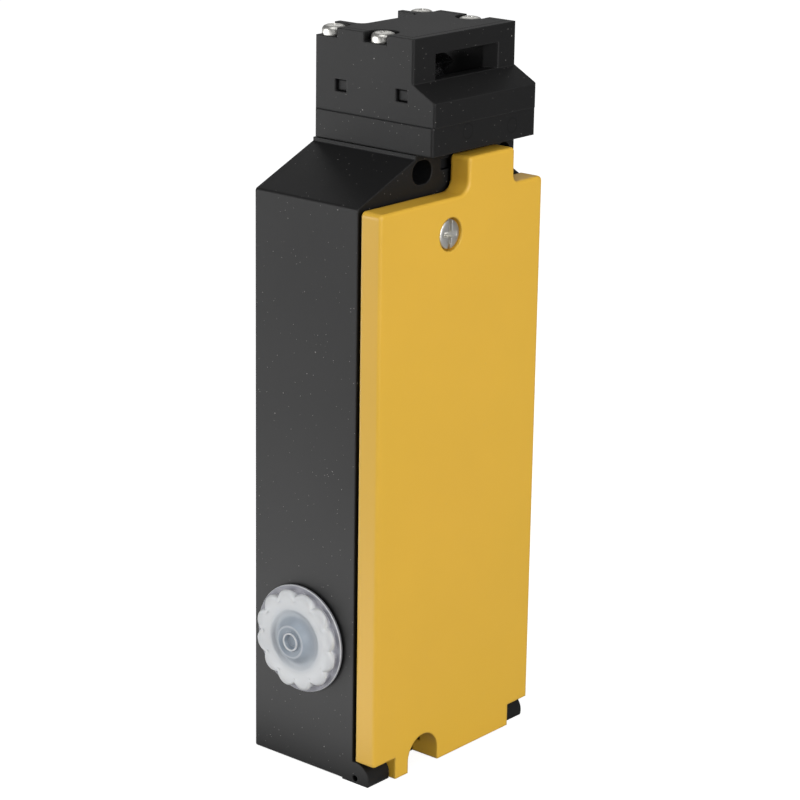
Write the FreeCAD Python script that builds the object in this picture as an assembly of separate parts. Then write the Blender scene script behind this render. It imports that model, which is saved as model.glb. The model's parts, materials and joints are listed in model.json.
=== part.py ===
import FreeCAD, Part
import math
import os
from FreeCAD import Vector

# Tongue-operated safety interlock switch with a solenoid lock: a housing with a hinged front
# cover, a turnable head with two tongue slots, and the cam, plunger, contacts and lock inside.
#
# Lengths are in millimetres. While modelling, X runs from the left side, Y from the cover's
# front face towards the mounting face and Z from the bottom. save() moves the origin to the
# middle of the bottom. Pieces that move past each other keep the named play between them.

# ---- housing -------------------------------------------------------------------------------
WIDTH = 57.0
DEPTH = 37.0
WALL = 3.0
SHOULDER_HEIGHT = 135.4
SLOPE_TOP = 143.5
NECK_TOP = 144.35
NECK_RIGHT = 54.3
FLARE = 1.2
CAVITY_TOP = 128.5
CAVITY_CORNER = 2.5

# ---- cover ---------------------------------------------------------------------------------
COVER_DEPTH = 5.45
COVER_TOP = 135.1
COVER_WALL = 1.4
COVER_SKIN = 2.3
COVER_EDGE_RADIUS = 0.7
COVER_NECK_LEFT = 30.2
COVER_NECK_RIGHT = 46.45
COVER_NECK_TOP = 143.3
COVER_RIB = 1.5
RIB_THICKNESS = 1.2
RIB_HEIGHTS = (30.0, 55.0, 80.0, 105.0)
SEAL_GAP = 1.15
GASKET_WIDTH = 1.5
GASKET_PLAY = 0.1

# ---- cover hinge ---------------------------------------------------------------------------
HINGE_Y = 5.7
HINGE_Z = 1.2
BARREL_RADIUS = 4.05
BARREL_LENGTH = 7.4
KNUCKLE_RADIUS = 2.1
KNUCKLE_BOTTOM = 0.2
HINGE_PLAY = 0.25
LEFT_KNUCKLE_LENGTH = 4.5
PIN_RADIUS = 0.75
PIN_PLAY = 0.05
PIN_SUNK = 0.6
RIGHT_PIN_GRIP = 7.0

# ---- fixing to the machine -----------------------------------------------------------------
FIXING_WIDTH = 5.5
FIXING_SLOT_LENGTH = 6.8
FIXING_SLOT_X = 21.5
FIXING_HOLE_RADIUS = 2.65
FIXING_SPACING = 29.0
FIXING_Z = 140.3
FOOT_SLOT_X = 17.5
FOOT_SLOT_Z = 3.0
FOOT_NOTCH_RADIUS = 5.35

# ---- cover screw ---------------------------------------------------------------------------
SCREW_X = 24.0
SCREW_Z = 126.8
SCREW_HEAD_RADIUS = 3.5
SCREW_HEAD_HEIGHT = 2.3
SCREW_RECESS_RADIUS = 3.9
SCREW_RECESS_DEPTH = 2.6
SCREW_SHANK_RADIUS = 1.95
SCREW_LENGTH = 15.0
SCREW_PLAY = 0.35
SCREW_BOSS_RADIUS = 5.0

# ---- cable entry ---------------------------------------------------------------------------
ENTRY_RADIUS = 10.0
ENTRY_BEHIND_MIDDLE = 0.5
ENTRY_Z = 31.7
ENTRY_LENGTH = 9.5
ENTRY_BOSS_WALL = 2.5
CAP_FLANGE_RADIUS = 12.9
CAP_FLANGE = 0.8
CAP_KNOB_RADIUS = 12.2
CAP_KNOB = 1.9
CAP_LOBES = 12
CAP_DISH_RADIUS = 7.1
CAP_DISH = 1.1
CAP_BOSS_RADIUS = 3.95
CAP_BOSS_FOOT = 5.6
CAP_BOSS = 1.3
CAP_HOLLOW_RADIUS = 1.8
CAP_SHANK = 8.0
CAP_SHANK_WALL = 1.6
CAP_SEAL = 0.35
CAP_PLAY = 0.1

# ---- head ----------------------------------------------------------------------------------
HEAD_X = 37.55
HEAD_AHEAD_OF_MIDDLE = 2.56
HEAD_PLAY = 0.2
BASE_WIDTH = 36.8
BASE_DEPTH = 34.8
BASE_HEIGHT = 6.4
HEAD_STEP = 0.25
HEAD_TOP = 170.0
FACE_SETBACK = 6.3
SLOPE_START = 5.5
SLOPE_RISE = 3.45
SLOT_LEFT = 27.0
SLOT_RIGHT = 49.4
SLOT_BOTTOM = 160.0
SLOT_HEIGHT = 5.9
GUIDE_LEFT = 27.5
GUIDE_RIGHT = 47.7
TOP_SLOT_DEPTH = 6.75
TOP_SLOT_FLOOR = 160.0
TOP_SLOT_CORNER = 2.0
FACE_WALL = 3.1
BACK_WALL = 2.3
LID_THICKNESS = 2.0
LID_MARGIN = 1.75
LID_GAP = 0.15
SPIGOT_RADIUS = 9.0
SPIGOT_BORE = 5.3
SPIGOT_BOTTOM = 133.0
SPIGOT_PLAY = 0.05
SPIGOT_LUG = 9.9
SPIGOT_LUG_WIDTH = 17.8
SPIGOT_LUG_HEIGHT = 1.0
WELL_FLOOR = 1.1

# ---- head screws and lid hooks -------------------------------------------------------------
HEAD_SCREW_INSET = 3.15
HEAD_SCREW_BACK_INSET = 3.04
HEAD_SCREW_MIDDLE = -0.24
HEAD_SCREW_RADIUS = 1.5
HEAD_SCREW_HEAD_RADIUS = 2.85
HEAD_SCREW_HEAD = 2.3
HEAD_SCREW_LENGTH = 20.0
SEAT_DROP = 2.2
SEAT_RADIUS = 3.4
HOOK_WIDTH = 3.2
HOOK_HEIGHT = 2.8
HOOK_BOTTOM = 155.7
HOOK_LEG = 1.3
HOOK_BACK_Y = 27.4
HOOK_FRONT_Y = 9.5

# ---- cam and plunger -----------------------------------------------------------------------
CAM_BEHIND_HEAD = 3.26
CAM_Z = 153.0
STROKE = 5.0
CAM_TURN = math.radians(60.0)
CAM_BASE_RADIUS = STROKE / CAM_TURN
CAM_REACH = 9.5
CAM_WHEEL_RADIUS = 10.5
CAM_HUB_RADIUS = 4.3
CAM_HUB_LENGTH = 17.0
CAM_WHEEL_WIDTH = 12.0
CAM_LOBE_WIDTH = 4.0
CAM_NOTCH_WIDTH = 4.6
CAM_NOTCH_FLOOR = 6.2
AXLE_RADIUS = 2.0
AXLE_LENGTH = 26.6
AXLE_PLAY = 0.04
PLAY = 0.2
FOLLOWER_RADIUS = 4.5
FOLLOWER_HEIGHT = 3.0
ROD_RADIUS = 3.2
ROD_STEP_Z = 112.0
LOWER_ROD_RADIUS = 2.2
ROD_PLAY = 0.05

# ---- plunger guide, retaining fork ---------------------------------------------------------
GUIDE_LEDGE_Z = 131.0
GUIDE_BUSH_RADIUS = 6.95
GUIDE_FLANGE = 1.6
GUIDE_SEAL_RADIUS = 5.0
GUIDE_SEAL_HEIGHT = 1.5
FORK_Z = 139.7
FORK_SLOT = 2.6
FORK_THICKNESS = 2.2
FORK_SLOT_LEFT = 28.0
FORK_SUNK = 0.8
GROOVE_RADIUS = 6.75

# ---- contact block -------------------------------------------------------------------------
BLOCK_WIDTH = 29.1
BLOCK_AHEAD = 7.24
BLOCK_BOTTOM = 94.5
BLOCK_TOP = 121.5
BLOCK_WALL = 2.0
CHAMBER_WIDTH = 12.1
CONTACT_Z = 114.5
CONTACT_GAP = 5.3
CONTACT_SPREAD = 9.25
CONTACT_RADIUS = 1.2
BAR_THICKNESS = 0.8
BAR_LENGTH = 22.0
BAR_WIDTH = 3.0
BAR_SPREAD = 4.65
CARRIER_WIDTH = 7.1
CARRIER_BOTTOM = 98.0
CONTACT_SPRING_RADIUS = 1.3
CONTACT_WIRE = 0.25
CONTACT_SHEET = 0.8
CONTACT_INNER = 6.6
TAB_FOOT = 2.5
TAB_HEIGHT = 10.0
TERMINAL_OFFSET = 10.05
TERMINAL_LOW = 6.0
TERMINAL_HIGH = 3.2
TERMINAL_GRIP = 4.0

# ---- inner frame ---------------------------------------------------------------------------
FRAME_THICKNESS = 2.5
FRAME_LEFT = 5.0
FRAME_RIGHT = 52.0
FRAME_BOTTOM = 14.0
FRAME_TOP = 121.5
FRAME_SCREW_RADIUS = 1.4
FRAME_SCREW_GRIP = 4.6

# ---- solenoid and lock bolt ----------------------------------------------------------------
COIL_REST = 1.5
COIL_Z = 80.0
YOKE_LEFT = 4.0
YOKE_LENGTH = 23.0
YOKE_HEIGHT = 24.0
YOKE_WIDTH = 19.0
YOKE_SHEET = 2.0
BOBBIN_BORE = 4.3
BOBBIN_WALL = 1.0
BOBBIN_FLANGE_RADIUS = 9.3
BOBBIN_FLANGE = 1.2
COIL_RADIUS = 9.0
CORE_RADIUS = 4.1
CORE_LENGTH = 8.0
LOCK_STROKE = 3.5
ARMATURE_GAP = 4.5
BOLT_RADIUS = 2.4
COLLAR_RADIUS = 4.5
COLLAR_HEIGHT = 3.2
LOCK_PLAY = 0.3
LOCK_SPRING_RADIUS = 2.35
LOCK_SPRING_POCKET = 3.0
FINGER_THICKNESS = 1.0
FINGER_WIDTH = 7.0
FINGER_RISE = 4.0
FINGER_BOTTOM = 53.0

# ---- monitoring switch and terminal strip --------------------------------------------------
MONITOR_LEFT = 6.0
MONITOR_LENGTH = 18.0
MONITOR_Z = 55.0
MONITOR_HEIGHT = 12.0
MONITOR_DEPTH = 13.0
BUTTON_RADIUS = 1.5
BUTTON_GRIP = 4.0
STRIP_LEFT = 27.0
STRIP_PITCH = 5.0
STRIP_CELLS = 5
STRIP_BOTTOM = 22.0
STRIP_HEIGHT = 18.0
STRIP_DEPTH = 13.5
TERMINAL_HEAD_RADIUS = 2.2
TERMINAL_HEAD = 1.8

# ---- places worked out from the sizes above ------------------------------------------------
BODY_FRONT = COVER_DEPTH + SEAL_GAP
BODY_MIDDLE = (BODY_FRONT + DEPTH) / 2
BACK_INSIDE = DEPTH - WALL
FRAME_FRONT = BACK_INSIDE - FRAME_THICKNESS
ENTRY_Y = BODY_MIDDLE + ENTRY_BEHIND_MIDDLE
HEAD_Y = BODY_MIDDLE - HEAD_AHEAD_OF_MIDDLE
CAM_Y = HEAD_Y + CAM_BEHIND_HEAD
COIL_Y = FRAME_FRONT - COIL_REST - YOKE_WIDTH / 2
COVER_BOTTOM = HINGE_Z + BARREL_RADIUS + LOCK_PLAY
NECK_LEFT = HEAD_X - BASE_WIDTH / 2
KNUCKLE_LEFT = BARREL_LENGTH + HINGE_PLAY
KNUCKLE_RIGHT = WIDTH - BARREL_LENGTH - HINGE_PLAY
NOTCH_LEFT = FOOT_SLOT_X - FOOT_NOTCH_RADIUS
NOTCH_RIGHT = FOOT_SLOT_X + FOOT_NOTCH_RADIUS
RIM_BOTTOM = FOOT_SLOT_Z + FOOT_NOTCH_RADIUS + COVER_WALL
CAVITY_BOTTOM = RIM_BOTTOM + GASKET_PLAY + GASKET_WIDTH
RIM_TOP = COVER_TOP - COVER_WALL
BASE_BOTTOM = NECK_TOP + HEAD_PLAY
BASE_TOP = BASE_BOTTOM + BASE_HEIGHT
HEAD_LEFT = HEAD_X - BASE_WIDTH / 2 + HEAD_STEP
HEAD_RIGHT = HEAD_X + BASE_WIDTH / 2 - HEAD_STEP
HEAD_FRONT = HEAD_Y - BASE_DEPTH / 2 - HEAD_STEP
HEAD_BACK = HEAD_Y + BASE_DEPTH / 2 - HEAD_STEP / 2
FACE_Y = HEAD_FRONT + FACE_SETBACK
LID_BOTTOM = HEAD_TOP - LID_THICKNESS
TOP_SLOT_FRONT = HEAD_BACK - TOP_SLOT_DEPTH
SCREW_SEAT = HEAD_TOP - SEAT_DROP
FOLLOWER_TOP = CAM_Z - CAM_REACH - PLAY
BOBBIN_TUBE_RADIUS = BOBBIN_BORE + BOBBIN_WALL
YOKE_RIGHT = YOKE_LEFT + YOKE_LENGTH
COLLAR_TOP = COIL_Z - BOLT_RADIUS + COLLAR_HEIGHT + PLAY
BOLT_TIP = HEAD_X - COLLAR_RADIUS - LOCK_PLAY
FINGER_RIGHT = BOLT_TIP - 0.75
STRIP_FRONT = FRAME_FRONT - STRIP_DEPTH
BLOCK_FRONT = HEAD_Y - BLOCK_AHEAD
FRONT_BAR_Y = HEAD_Y - BAR_SPREAD
BACK_BAR_Y = HEAD_Y + BAR_SPREAD
BLOCK_LEFT = HEAD_X - BLOCK_WIDTH / 2
BLOCK_RIGHT = HEAD_X + BLOCK_WIDTH / 2
BAR_TOP = CONTACT_Z - CONTACT_GAP - 0.5
CORE_END = YOKE_LEFT + CORE_LENGTH
ARMATURE_LEFT = CORE_END + ARMATURE_GAP
HEAD_SCREW_SIDE = BASE_WIDTH / 2 - HEAD_SCREW_INSET
HEAD_SCREW_BACK = BASE_DEPTH / 2 - HEAD_SCREW_BACK_INSET
HEAD_SCREW_PLACES = [(side * HEAD_SCREW_SIDE, along)
                     for side in (-1, 1) for along in (HEAD_SCREW_MIDDLE, HEAD_SCREW_BACK)]
FRAME_SCREW_PLACES = [(14.0, 18.0), (46.0, 60.0), (9.0, 112.0)]
TERMINAL_HEIGHTS = (BLOCK_BOTTOM + TERMINAL_LOW, BLOCK_TOP - TERMINAL_HIGH)
TERMINAL_PLACES = [(side, z) for side in (-TERMINAL_OFFSET, TERMINAL_OFFSET)
                   for z in TERMINAL_HEIGHTS]


def block(x0, x1, y0, y1, z0, z1):
    """A box between two corners."""
    return Part.makeBox(x1 - x0, y1 - y0, z1 - z0, Vector(x0, y0, z0))


def rod(axis, u, v, radius, start, end):
    """A cylinder along an axis; u and v are its other two coordinates in X, Y, Z order."""
    base, direction = {"x": (Vector(start, u, v), Vector(1, 0, 0)),
                       "y": (Vector(u, start, v), Vector(0, 1, 0)),
                       "z": (Vector(u, v, start), Vector(0, 0, 1))}[axis]
    return Part.makeCylinder(radius, end - start, base, direction)


def tube(axis, u, v, outer, inner, start, end):
    """A hollow cylinder."""
    return rod(axis, u, v, outer, start, end).cut(rod(axis, u, v, inner, start, end))


def point(axis, u, v, along):
    """The point with the two plane coordinates u and v at a height along the axis."""
    return {"x": Vector(along, u, v), "y": Vector(u, along, v), "z": Vector(u, v, along)}[axis]


def slab(axis, corners, start, end):
    """A polygon drawn across an axis and pushed along it from start to end."""
    wire = Part.makePolygon([point(axis, u, v, start) for u, v in corners + corners[:1]])
    return Part.Face(wire).extrude(point(axis, 0, 0, end - start))


def rounded(axis, u0, u1, v0, v1, radius, start, end):
    """A rectangle with round corners, pushed along an axis."""
    bars = [slab(axis, [(u0 + radius, v0), (u1 - radius, v0), (u1 - radius, v1),
                        (u0 + radius, v1)], start, end),
            slab(axis, [(u0, v0 + radius), (u1, v0 + radius), (u1, v1 - radius),
                        (u0, v1 - radius)], start, end)]
    corners = [rod(axis, u, v, radius, start, end)
               for u in (u0 + radius, u1 - radius) for v in (v0 + radius, v1 - radius)]
    return join(bars + corners)


def join(shapes):
    """One solid from several that overlap."""
    return shapes[0].multiFuse(shapes[1:]).removeSplitter()


def remove(shape, tools):
    """The shape with every tool cut away."""
    return shape.cut(Part.Compound(tools)) if len(tools) == 1 else shape.cut(tools)


def soften(shape, radius, chosen):
    """Round the straight edges whose midpoint and direction are chosen."""
    edges = []
    for edge in shape.Edges:
        if isinstance(edge.Curve, Part.Line):
            way = edge.Vertexes[-1].Point.sub(edge.Vertexes[0].Point).normalize()
            if chosen(edge.CenterOfMass, way):
                edges.append(edge)
    return shape.makeFillet(radius, edges)


def coil(place, radius, wire, bottom, top, turns):
    """A helical spring standing along Z, its wire drawn as a diamond in twelve steps a turn."""
    steps = 12 * turns
    rise = (top - bottom - 2 * wire) / steps
    rings = []
    for step in range(steps + 1):
        turn = 2 * math.pi * step / 12
        corners = []
        for out, up in ((wire, 0), (0, wire), (-wire, 0), (0, -wire)):
            reach = radius + out
            corners.append(Vector(place[0] + reach * math.cos(turn),
                                  place[1] + reach * math.sin(turn),
                                  bottom + wire + rise * step + up))
        rings.append(Part.makePolygon(corners + corners[:1]))
    return Part.makeLoft(rings, True, True)


def save(name, shape):
    """Move the origin to the middle of the bottom and write the node's file."""
    placed = shape.copy()
    placed.translate(Vector(-WIDTH / 2, -DEPTH / 2, 0))
    placed.exportStep("parts/" + name + ".step")
    bad = "" if placed.isValid() else "  NOT VALID"
    print("%-24s solids %2d  volume %9.1f%s" % (name, len(placed.Solids), placed.Volume, bad))


# ---- housing -------------------------------------------------------------------------------
def fixing_slot(x, length):
    """The slot for one fixing screw, right through the housing's neck."""
    shift = (length - FIXING_WIDTH) / 2
    return join([rod("y", x - shift, FIXING_Z, FIXING_WIDTH / 2, 0, DEPTH + 1),
                 rod("y", x + shift, FIXING_Z, FIXING_WIDTH / 2, 0, DEPTH + 1),
                 block(x - shift, x + shift, 0, DEPTH + 1,
                       FIXING_Z - FIXING_WIDTH / 2, FIXING_Z + FIXING_WIDTH / 2)])


def housing():
    """The black moulded body with its neck, hinge barrels, entry boss and fixing slots."""
    outline = [(0, 0), (WIDTH, 0), (WIDTH, COVER_TOP - 0.6), (NECK_RIGHT, COVER_TOP + FLARE),
               (NECK_RIGHT, NECK_TOP), (NECK_LEFT, NECK_TOP), (NECK_LEFT, SLOPE_TOP),
               (0, SHOULDER_HEIGHT)]
    body = slab("y", outline, BODY_FRONT, DEPTH)
    body = soften(body, 0.8, lambda at, way: abs(way.y) > 0.9 and at.z > 1 and at.x < 1
                  or abs(way.y) > 0.9 and at.z < 1)
    barrels = [rod("x", HINGE_Y, HINGE_Z, BARREL_RADIUS, 0, BARREL_LENGTH),
               rod("x", HINGE_Y, HINGE_Z, BARREL_RADIUS, WIDTH - BARREL_LENGTH, WIDTH)]
    under = block(-1, WIDTH + 1, -1, DEPTH + 1, -BARREL_RADIUS, 0)
    cavity = rounded("y", WALL, WIDTH - WALL, CAVITY_BOTTOM, CAVITY_TOP, CAVITY_CORNER,
                     BODY_FRONT - 1, BACK_INSIDE)
    swing = rod("x", HINGE_Y, HINGE_Z, KNUCKLE_RADIUS + 0.35, BARREL_LENGTH, WIDTH - BARREL_LENGTH)
    body = remove(body, [cavity])
    entry_boss = rod("x", ENTRY_Y, ENTRY_Z, ENTRY_RADIUS + ENTRY_BOSS_WALL, WALL / 2, ENTRY_LENGTH)
    entry_boss = entry_boss.common(block(0, WIDTH, 0, DEPTH - 0.5, 0, SHOULDER_HEIGHT))
    screw_boss = rod("y", SCREW_X, SCREW_Z, SCREW_BOSS_RADIUS - 0.7, BODY_FRONT, BACK_INSIDE + 0.5)
    body = join([body, entry_boss, screw_boss] + barrels)
    pin_hole = PIN_RADIUS + PIN_PLAY
    foot = join([rod("y", FOOT_SLOT_X, FOOT_SLOT_Z, FIXING_WIDTH / 2, 0, DEPTH + 1),
                 block(FOOT_SLOT_X - FIXING_WIDTH / 2, FOOT_SLOT_X + FIXING_WIDTH / 2,
                       0, DEPTH + 1, -1, FOOT_SLOT_Z)])
    fork_half = HEAD_X - FORK_SLOT_LEFT
    tools = [under, swing, foot,
             rod("x", HINGE_Y, HINGE_Z, pin_hole, -1, WIDTH + 1),
             fixing_slot(FIXING_SLOT_X, FIXING_SLOT_LENGTH),
             rod("y", FIXING_SLOT_X + FIXING_SPACING, FIXING_Z, FIXING_HOLE_RADIUS, 0, DEPTH + 1),
             rod("x", ENTRY_Y, ENTRY_Z, ENTRY_RADIUS, -1, ENTRY_LENGTH + 1),
             rod("y", SCREW_X, SCREW_Z, SCREW_SHANK_RADIUS + SCREW_PLAY, 0, SCREW_LENGTH + 4),
             rod("z", HEAD_X, HEAD_Y, SPIGOT_RADIUS + SPIGOT_PLAY, GUIDE_LEDGE_Z, NECK_TOP + 1),
             rod("z", HEAD_X, HEAD_Y, GUIDE_BUSH_RADIUS + SPIGOT_PLAY, CAVITY_TOP - 1, NECK_TOP),
             block(HEAD_X - fork_half, HEAD_X + fork_half, 0, HEAD_Y + 5.8,
                   FORK_Z, FORK_Z + FORK_SLOT)]
    tools += [rod("y", x, z, FRAME_SCREW_RADIUS + 0.05, BACK_INSIDE - 1,
                  FRAME_FRONT + FRAME_SCREW_GRIP + 0.1) for x, z in FRAME_SCREW_PLACES]
    return remove(body, tools)


# ---- cover ---------------------------------------------------------------------------------
def cover_plate():
    """The outside of the cover: plate, neck with its two inner fillets, knuckle roots."""
    plate = rounded("y", 0, WIDTH, COVER_BOTTOM, COVER_TOP, 1.2, 0, COVER_DEPTH)
    square = join([block(0, 3, 0, COVER_DEPTH, COVER_BOTTOM, COVER_BOTTOM + 3),
                   block(WIDTH - 3, WIDTH, 0, COVER_DEPTH, COVER_BOTTOM, COVER_BOTTOM + 3)])
    neck = rounded("y", COVER_NECK_LEFT, COVER_NECK_RIGHT, COVER_TOP - 3, COVER_NECK_TOP, 1.0,
                   0, COVER_DEPTH)
    fillets = []
    for x, radius, side in ((COVER_NECK_LEFT, 3.0, -1), (COVER_NECK_RIGHT, 1.8, 1)):
        low, high = sorted((x, x + side * radius))
        corner = block(low, high, 0, COVER_DEPTH, COVER_TOP - 1, COVER_TOP + radius)
        fillets.append(corner.cut(rod("y", x + side * radius, COVER_TOP + radius, radius,
                                      -1, COVER_DEPTH + 1)))
    foot = block(KNUCKLE_LEFT, KNUCKLE_RIGHT, 0, COVER_DEPTH, KNUCKLE_BOTTOM, COVER_BOTTOM + 2)
    notch = [rod("y", FOOT_SLOT_X, FOOT_SLOT_Z, FOOT_NOTCH_RADIUS, -1, COVER_DEPTH + 6),
             block(NOTCH_LEFT, NOTCH_RIGHT, -1, COVER_DEPTH + 6, KNUCKLE_BOTTOM - 1, FOOT_SLOT_Z)]
    plate = remove(join([plate, square, neck, foot] + fillets), notch)
    return soften(plate, COVER_EDGE_RADIUS, lambda at, way: abs(at.y) < 0.01
                  and (abs(way.z) > 0.9 and (at.x < 0.1 or at.x > WIDTH - 0.1)))


def cover():
    """The yellow hinged cover: a shallow shell with ribs, a screw boss and hinge knuckles."""
    knuckles = [rod("x", HINGE_Y, HINGE_Z, KNUCKLE_RADIUS, KNUCKLE_LEFT, NOTCH_LEFT),
                rod("x", HINGE_Y, HINGE_Z, KNUCKLE_RADIUS, NOTCH_RIGHT, KNUCKLE_RIGHT)]
    pocket = rounded("y", COVER_WALL, WIDTH - COVER_WALL, RIM_BOTTOM, RIM_TOP, 1.0,
                     COVER_SKIN, COVER_DEPTH + 1)
    neck_pocket = block(COVER_NECK_LEFT + COVER_SKIN, COVER_NECK_RIGHT - COVER_SKIN,
                        COVER_SKIN, COVER_DEPTH + 1, RIM_TOP + COVER_WALL,
                        COVER_NECK_TOP - COVER_WALL)
    shell = remove(cover_plate(), [pocket, neck_pocket])
    inner = GASKET_WIDTH + 2 * GASKET_PLAY + COVER_WALL
    root, crest = COVER_SKIN - 0.2, COVER_SKIN + COVER_RIB
    ribs = [block(inner, WIDTH - inner, root, crest, z, z + RIB_THICKNESS) for z in RIB_HEIGHTS]
    ribs += [block(x, x + RIB_THICKNESS, root, crest, CAVITY_BOTTOM + GASKET_PLAY, CAVITY_TOP - 8)
             for x in (WIDTH / 3, 2 * WIDTH / 3)]
    boss = rod("y", SCREW_X, SCREW_Z, SCREW_BOSS_RADIUS, COVER_SKIN - 0.2, COVER_DEPTH)
    boss = boss.common(block(0, WIDTH, 0, COVER_DEPTH, 0, RIM_TOP - GASKET_WIDTH
                             - 2 * GASKET_PLAY))
    solid = join([shell, boss] + ribs + knuckles)
    pin = PIN_RADIUS + PIN_PLAY
    tools = [block(-1, WIDTH + 1, -1, DEPTH, -BARREL_RADIUS, KNUCKLE_BOTTOM),
             rod("y", SCREW_X, SCREW_Z, SCREW_RECESS_RADIUS, -1, SCREW_RECESS_DEPTH),
             rod("y", SCREW_X, SCREW_Z, SCREW_SHANK_RADIUS + SCREW_PLAY, -1, COVER_DEPTH + 1),
             rod("x", HINGE_Y, HINGE_Z, pin, KNUCKLE_LEFT - 1, NOTCH_LEFT + 1),
             rod("x", HINGE_Y, HINGE_Z, pin, KNUCKLE_RIGHT - RIGHT_PIN_GRIP - 0.5,
                 KNUCKLE_RIGHT + 1)]
    return remove(solid, tools)


def cover_gasket():
    """The rubber frame inside the cover's rim, which seals on the housing's front."""
    low = COVER_WALL + GASKET_PLAY
    outer = rounded("y", low, WIDTH - low, RIM_BOTTOM + GASKET_PLAY, RIM_TOP - GASKET_PLAY, 1.0,
                    COVER_SKIN, BODY_FRONT - GASKET_PLAY)
    low += GASKET_WIDTH
    inner = rounded("y", low, WIDTH - low, CAVITY_BOTTOM, RIM_TOP - GASKET_PLAY - GASKET_WIDTH,
                    0.5, 0, DEPTH)
    return remove(outer, [inner])


def hinge_pin_left():
    """The short pin through the left barrel and knuckle."""
    return rod("x", HINGE_Y, HINGE_Z, PIN_RADIUS, PIN_SUNK, NOTCH_LEFT)


def hinge_pin_right():
    """The pin through the right barrel into the wide knuckle."""
    return rod("x", HINGE_Y, HINGE_Z, PIN_RADIUS, KNUCKLE_RIGHT - RIGHT_PIN_GRIP, WIDTH - PIN_SUNK)


def cover_screw():
    """The screw that holds the cover shut, with a cross and slot in its flat head."""
    face = SCREW_RECESS_DEPTH - SCREW_HEAD_HEIGHT
    head = rod("y", SCREW_X, SCREW_Z, SCREW_HEAD_RADIUS, face, SCREW_RECESS_DEPTH)
    shank = rod("y", SCREW_X, SCREW_Z, SCREW_SHANK_RADIUS, face, SCREW_LENGTH)
    half = 0.5
    slot = block(SCREW_X - SCREW_HEAD_RADIUS, SCREW_X + SCREW_HEAD_RADIUS, face - 1, face + 0.9,
                 SCREW_Z - half, SCREW_Z + half)
    cross = block(SCREW_X - half, SCREW_X + half, face - 1, face + 1.3, SCREW_Z - 2, SCREW_Z + 2)
    return remove(join([head, shank]), [slot, cross])


def screw_keeper():
    """The ring that keeps the loosened screw in the cover."""
    start = COVER_DEPTH + PLAY
    return tube("y", SCREW_X, SCREW_Z, SCREW_BOSS_RADIUS - 1.2, SCREW_SHANK_RADIUS,
                start, start + 0.7)


# ---- cable entry ---------------------------------------------------------------------------
def dust_cap():
    """The threaded dust cap: flange, scalloped knob with a dished face, hollow shank."""
    y, z = ENTRY_Y, ENTRY_Z
    rim = -CAP_SEAL - CAP_FLANGE
    face = rim - CAP_KNOB
    dish = face + CAP_DISH
    solid = join([rod("x", y, z, CAP_FLANGE_RADIUS, rim, -CAP_SEAL),
                  rod("x", y, z, CAP_KNOB_RADIUS, face, rim),
                  rod("x", y, z, ENTRY_RADIUS - CAP_PLAY, -CAP_SEAL, CAP_SHANK)])
    tools = [rod("x", y, z, CAP_DISH_RADIUS, face - 1, dish),
             rod("x", y, z, ENTRY_RADIUS - CAP_PLAY - CAP_SHANK_WALL, rim + 0.3, CAP_SHANK + 1)]
    for lobe in range(CAP_LOBES):
        turn = 2 * math.pi * lobe / CAP_LOBES
        reach = CAP_KNOB_RADIUS + 0.6
        tools.append(rod("x", y + reach * math.cos(turn), z + reach * math.sin(turn), 1.6,
                         face - 1, rim))
    solid = remove(solid, tools)
    boss = Part.makeCone(CAP_BOSS_RADIUS, CAP_BOSS_FOOT, CAP_BOSS + CAP_DISH + 0.1,
                         Vector(face - CAP_BOSS, y, z), Vector(1, 0, 0))
    hollow = rod("x", y, z, CAP_HOLLOW_RADIUS, face - CAP_BOSS - 1, face)
    return remove(join([solid, boss]), [hollow])


def dust_cap_seal():
    """The flat ring between the cap's flange and the housing."""
    return tube("x", ENTRY_Y, ENTRY_Z, CAP_FLANGE_RADIUS - 0.5, ENTRY_RADIUS + 0.2, -CAP_SEAL, 0)


# ---- head ----------------------------------------------------------------------------------
def head_base():
    """The lower head plate with its cam well and the hole for the spigot."""
    left, front = HEAD_X - BASE_WIDTH / 2, HEAD_Y - BASE_DEPTH / 2
    plate = rounded("z", left, left + BASE_WIDTH, front, front + BASE_DEPTH, 0.6,
                    BASE_BOTTOM, BASE_TOP)
    well_left = HEAD_X - CAM_HUB_LENGTH / 2 - 0.6
    well = block(well_left, 2 * HEAD_X - well_left, FACE_Y + FACE_WALL, HEAD_BACK - BACK_WALL,
                 BASE_BOTTOM + WELL_FLOOR, BASE_TOP + 1)
    tools = [well, rod("z", HEAD_X, HEAD_Y, SPIGOT_RADIUS + 0.02, BASE_BOTTOM - 1, BASE_TOP)]
    tools += [rod("z", HEAD_X + side, HEAD_Y + along, HEAD_SCREW_RADIUS + 0.05,
                  SCREW_SEAT - HEAD_SCREW_LENGTH - 0.1, BASE_TOP + 1)
              for side, along in HEAD_SCREW_PLACES]
    return remove(plate, tools)


def head_spigot():
    """The bush hung by its lugs in the base plate, which turns in the housing's neck."""
    floor = BASE_BOTTOM + WELL_FLOOR
    half = SPIGOT_LUG_WIDTH / 2
    lugs = block(HEAD_X - half, HEAD_X + half, FACE_Y + FACE_WALL + 0.05,
                 HEAD_Y + SPIGOT_LUG, floor, floor + SPIGOT_LUG_HEIGHT)
    solid = join([lugs, rod("z", HEAD_X, HEAD_Y, SPIGOT_RADIUS, SPIGOT_BOTTOM, floor + 0.1)])
    groove = tube("z", HEAD_X, HEAD_Y, SPIGOT_RADIUS + 1, GROOVE_RADIUS, FORK_Z - 0.1,
                  FORK_Z + FORK_SLOT + 0.1)
    return remove(solid, [groove, rod("z", HEAD_X, HEAD_Y, SPIGOT_BORE, SPIGOT_BOTTOM - 1,
                                      BASE_TOP + 1)])


def hook_places():
    """Each lid hook as (side, low Y, high Y): -1 is the left side."""
    return [(side, y, y + HOOK_WIDTH) for side in (-1, 1) for y in (HOOK_FRONT_Y, HOOK_BACK_Y)]


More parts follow.
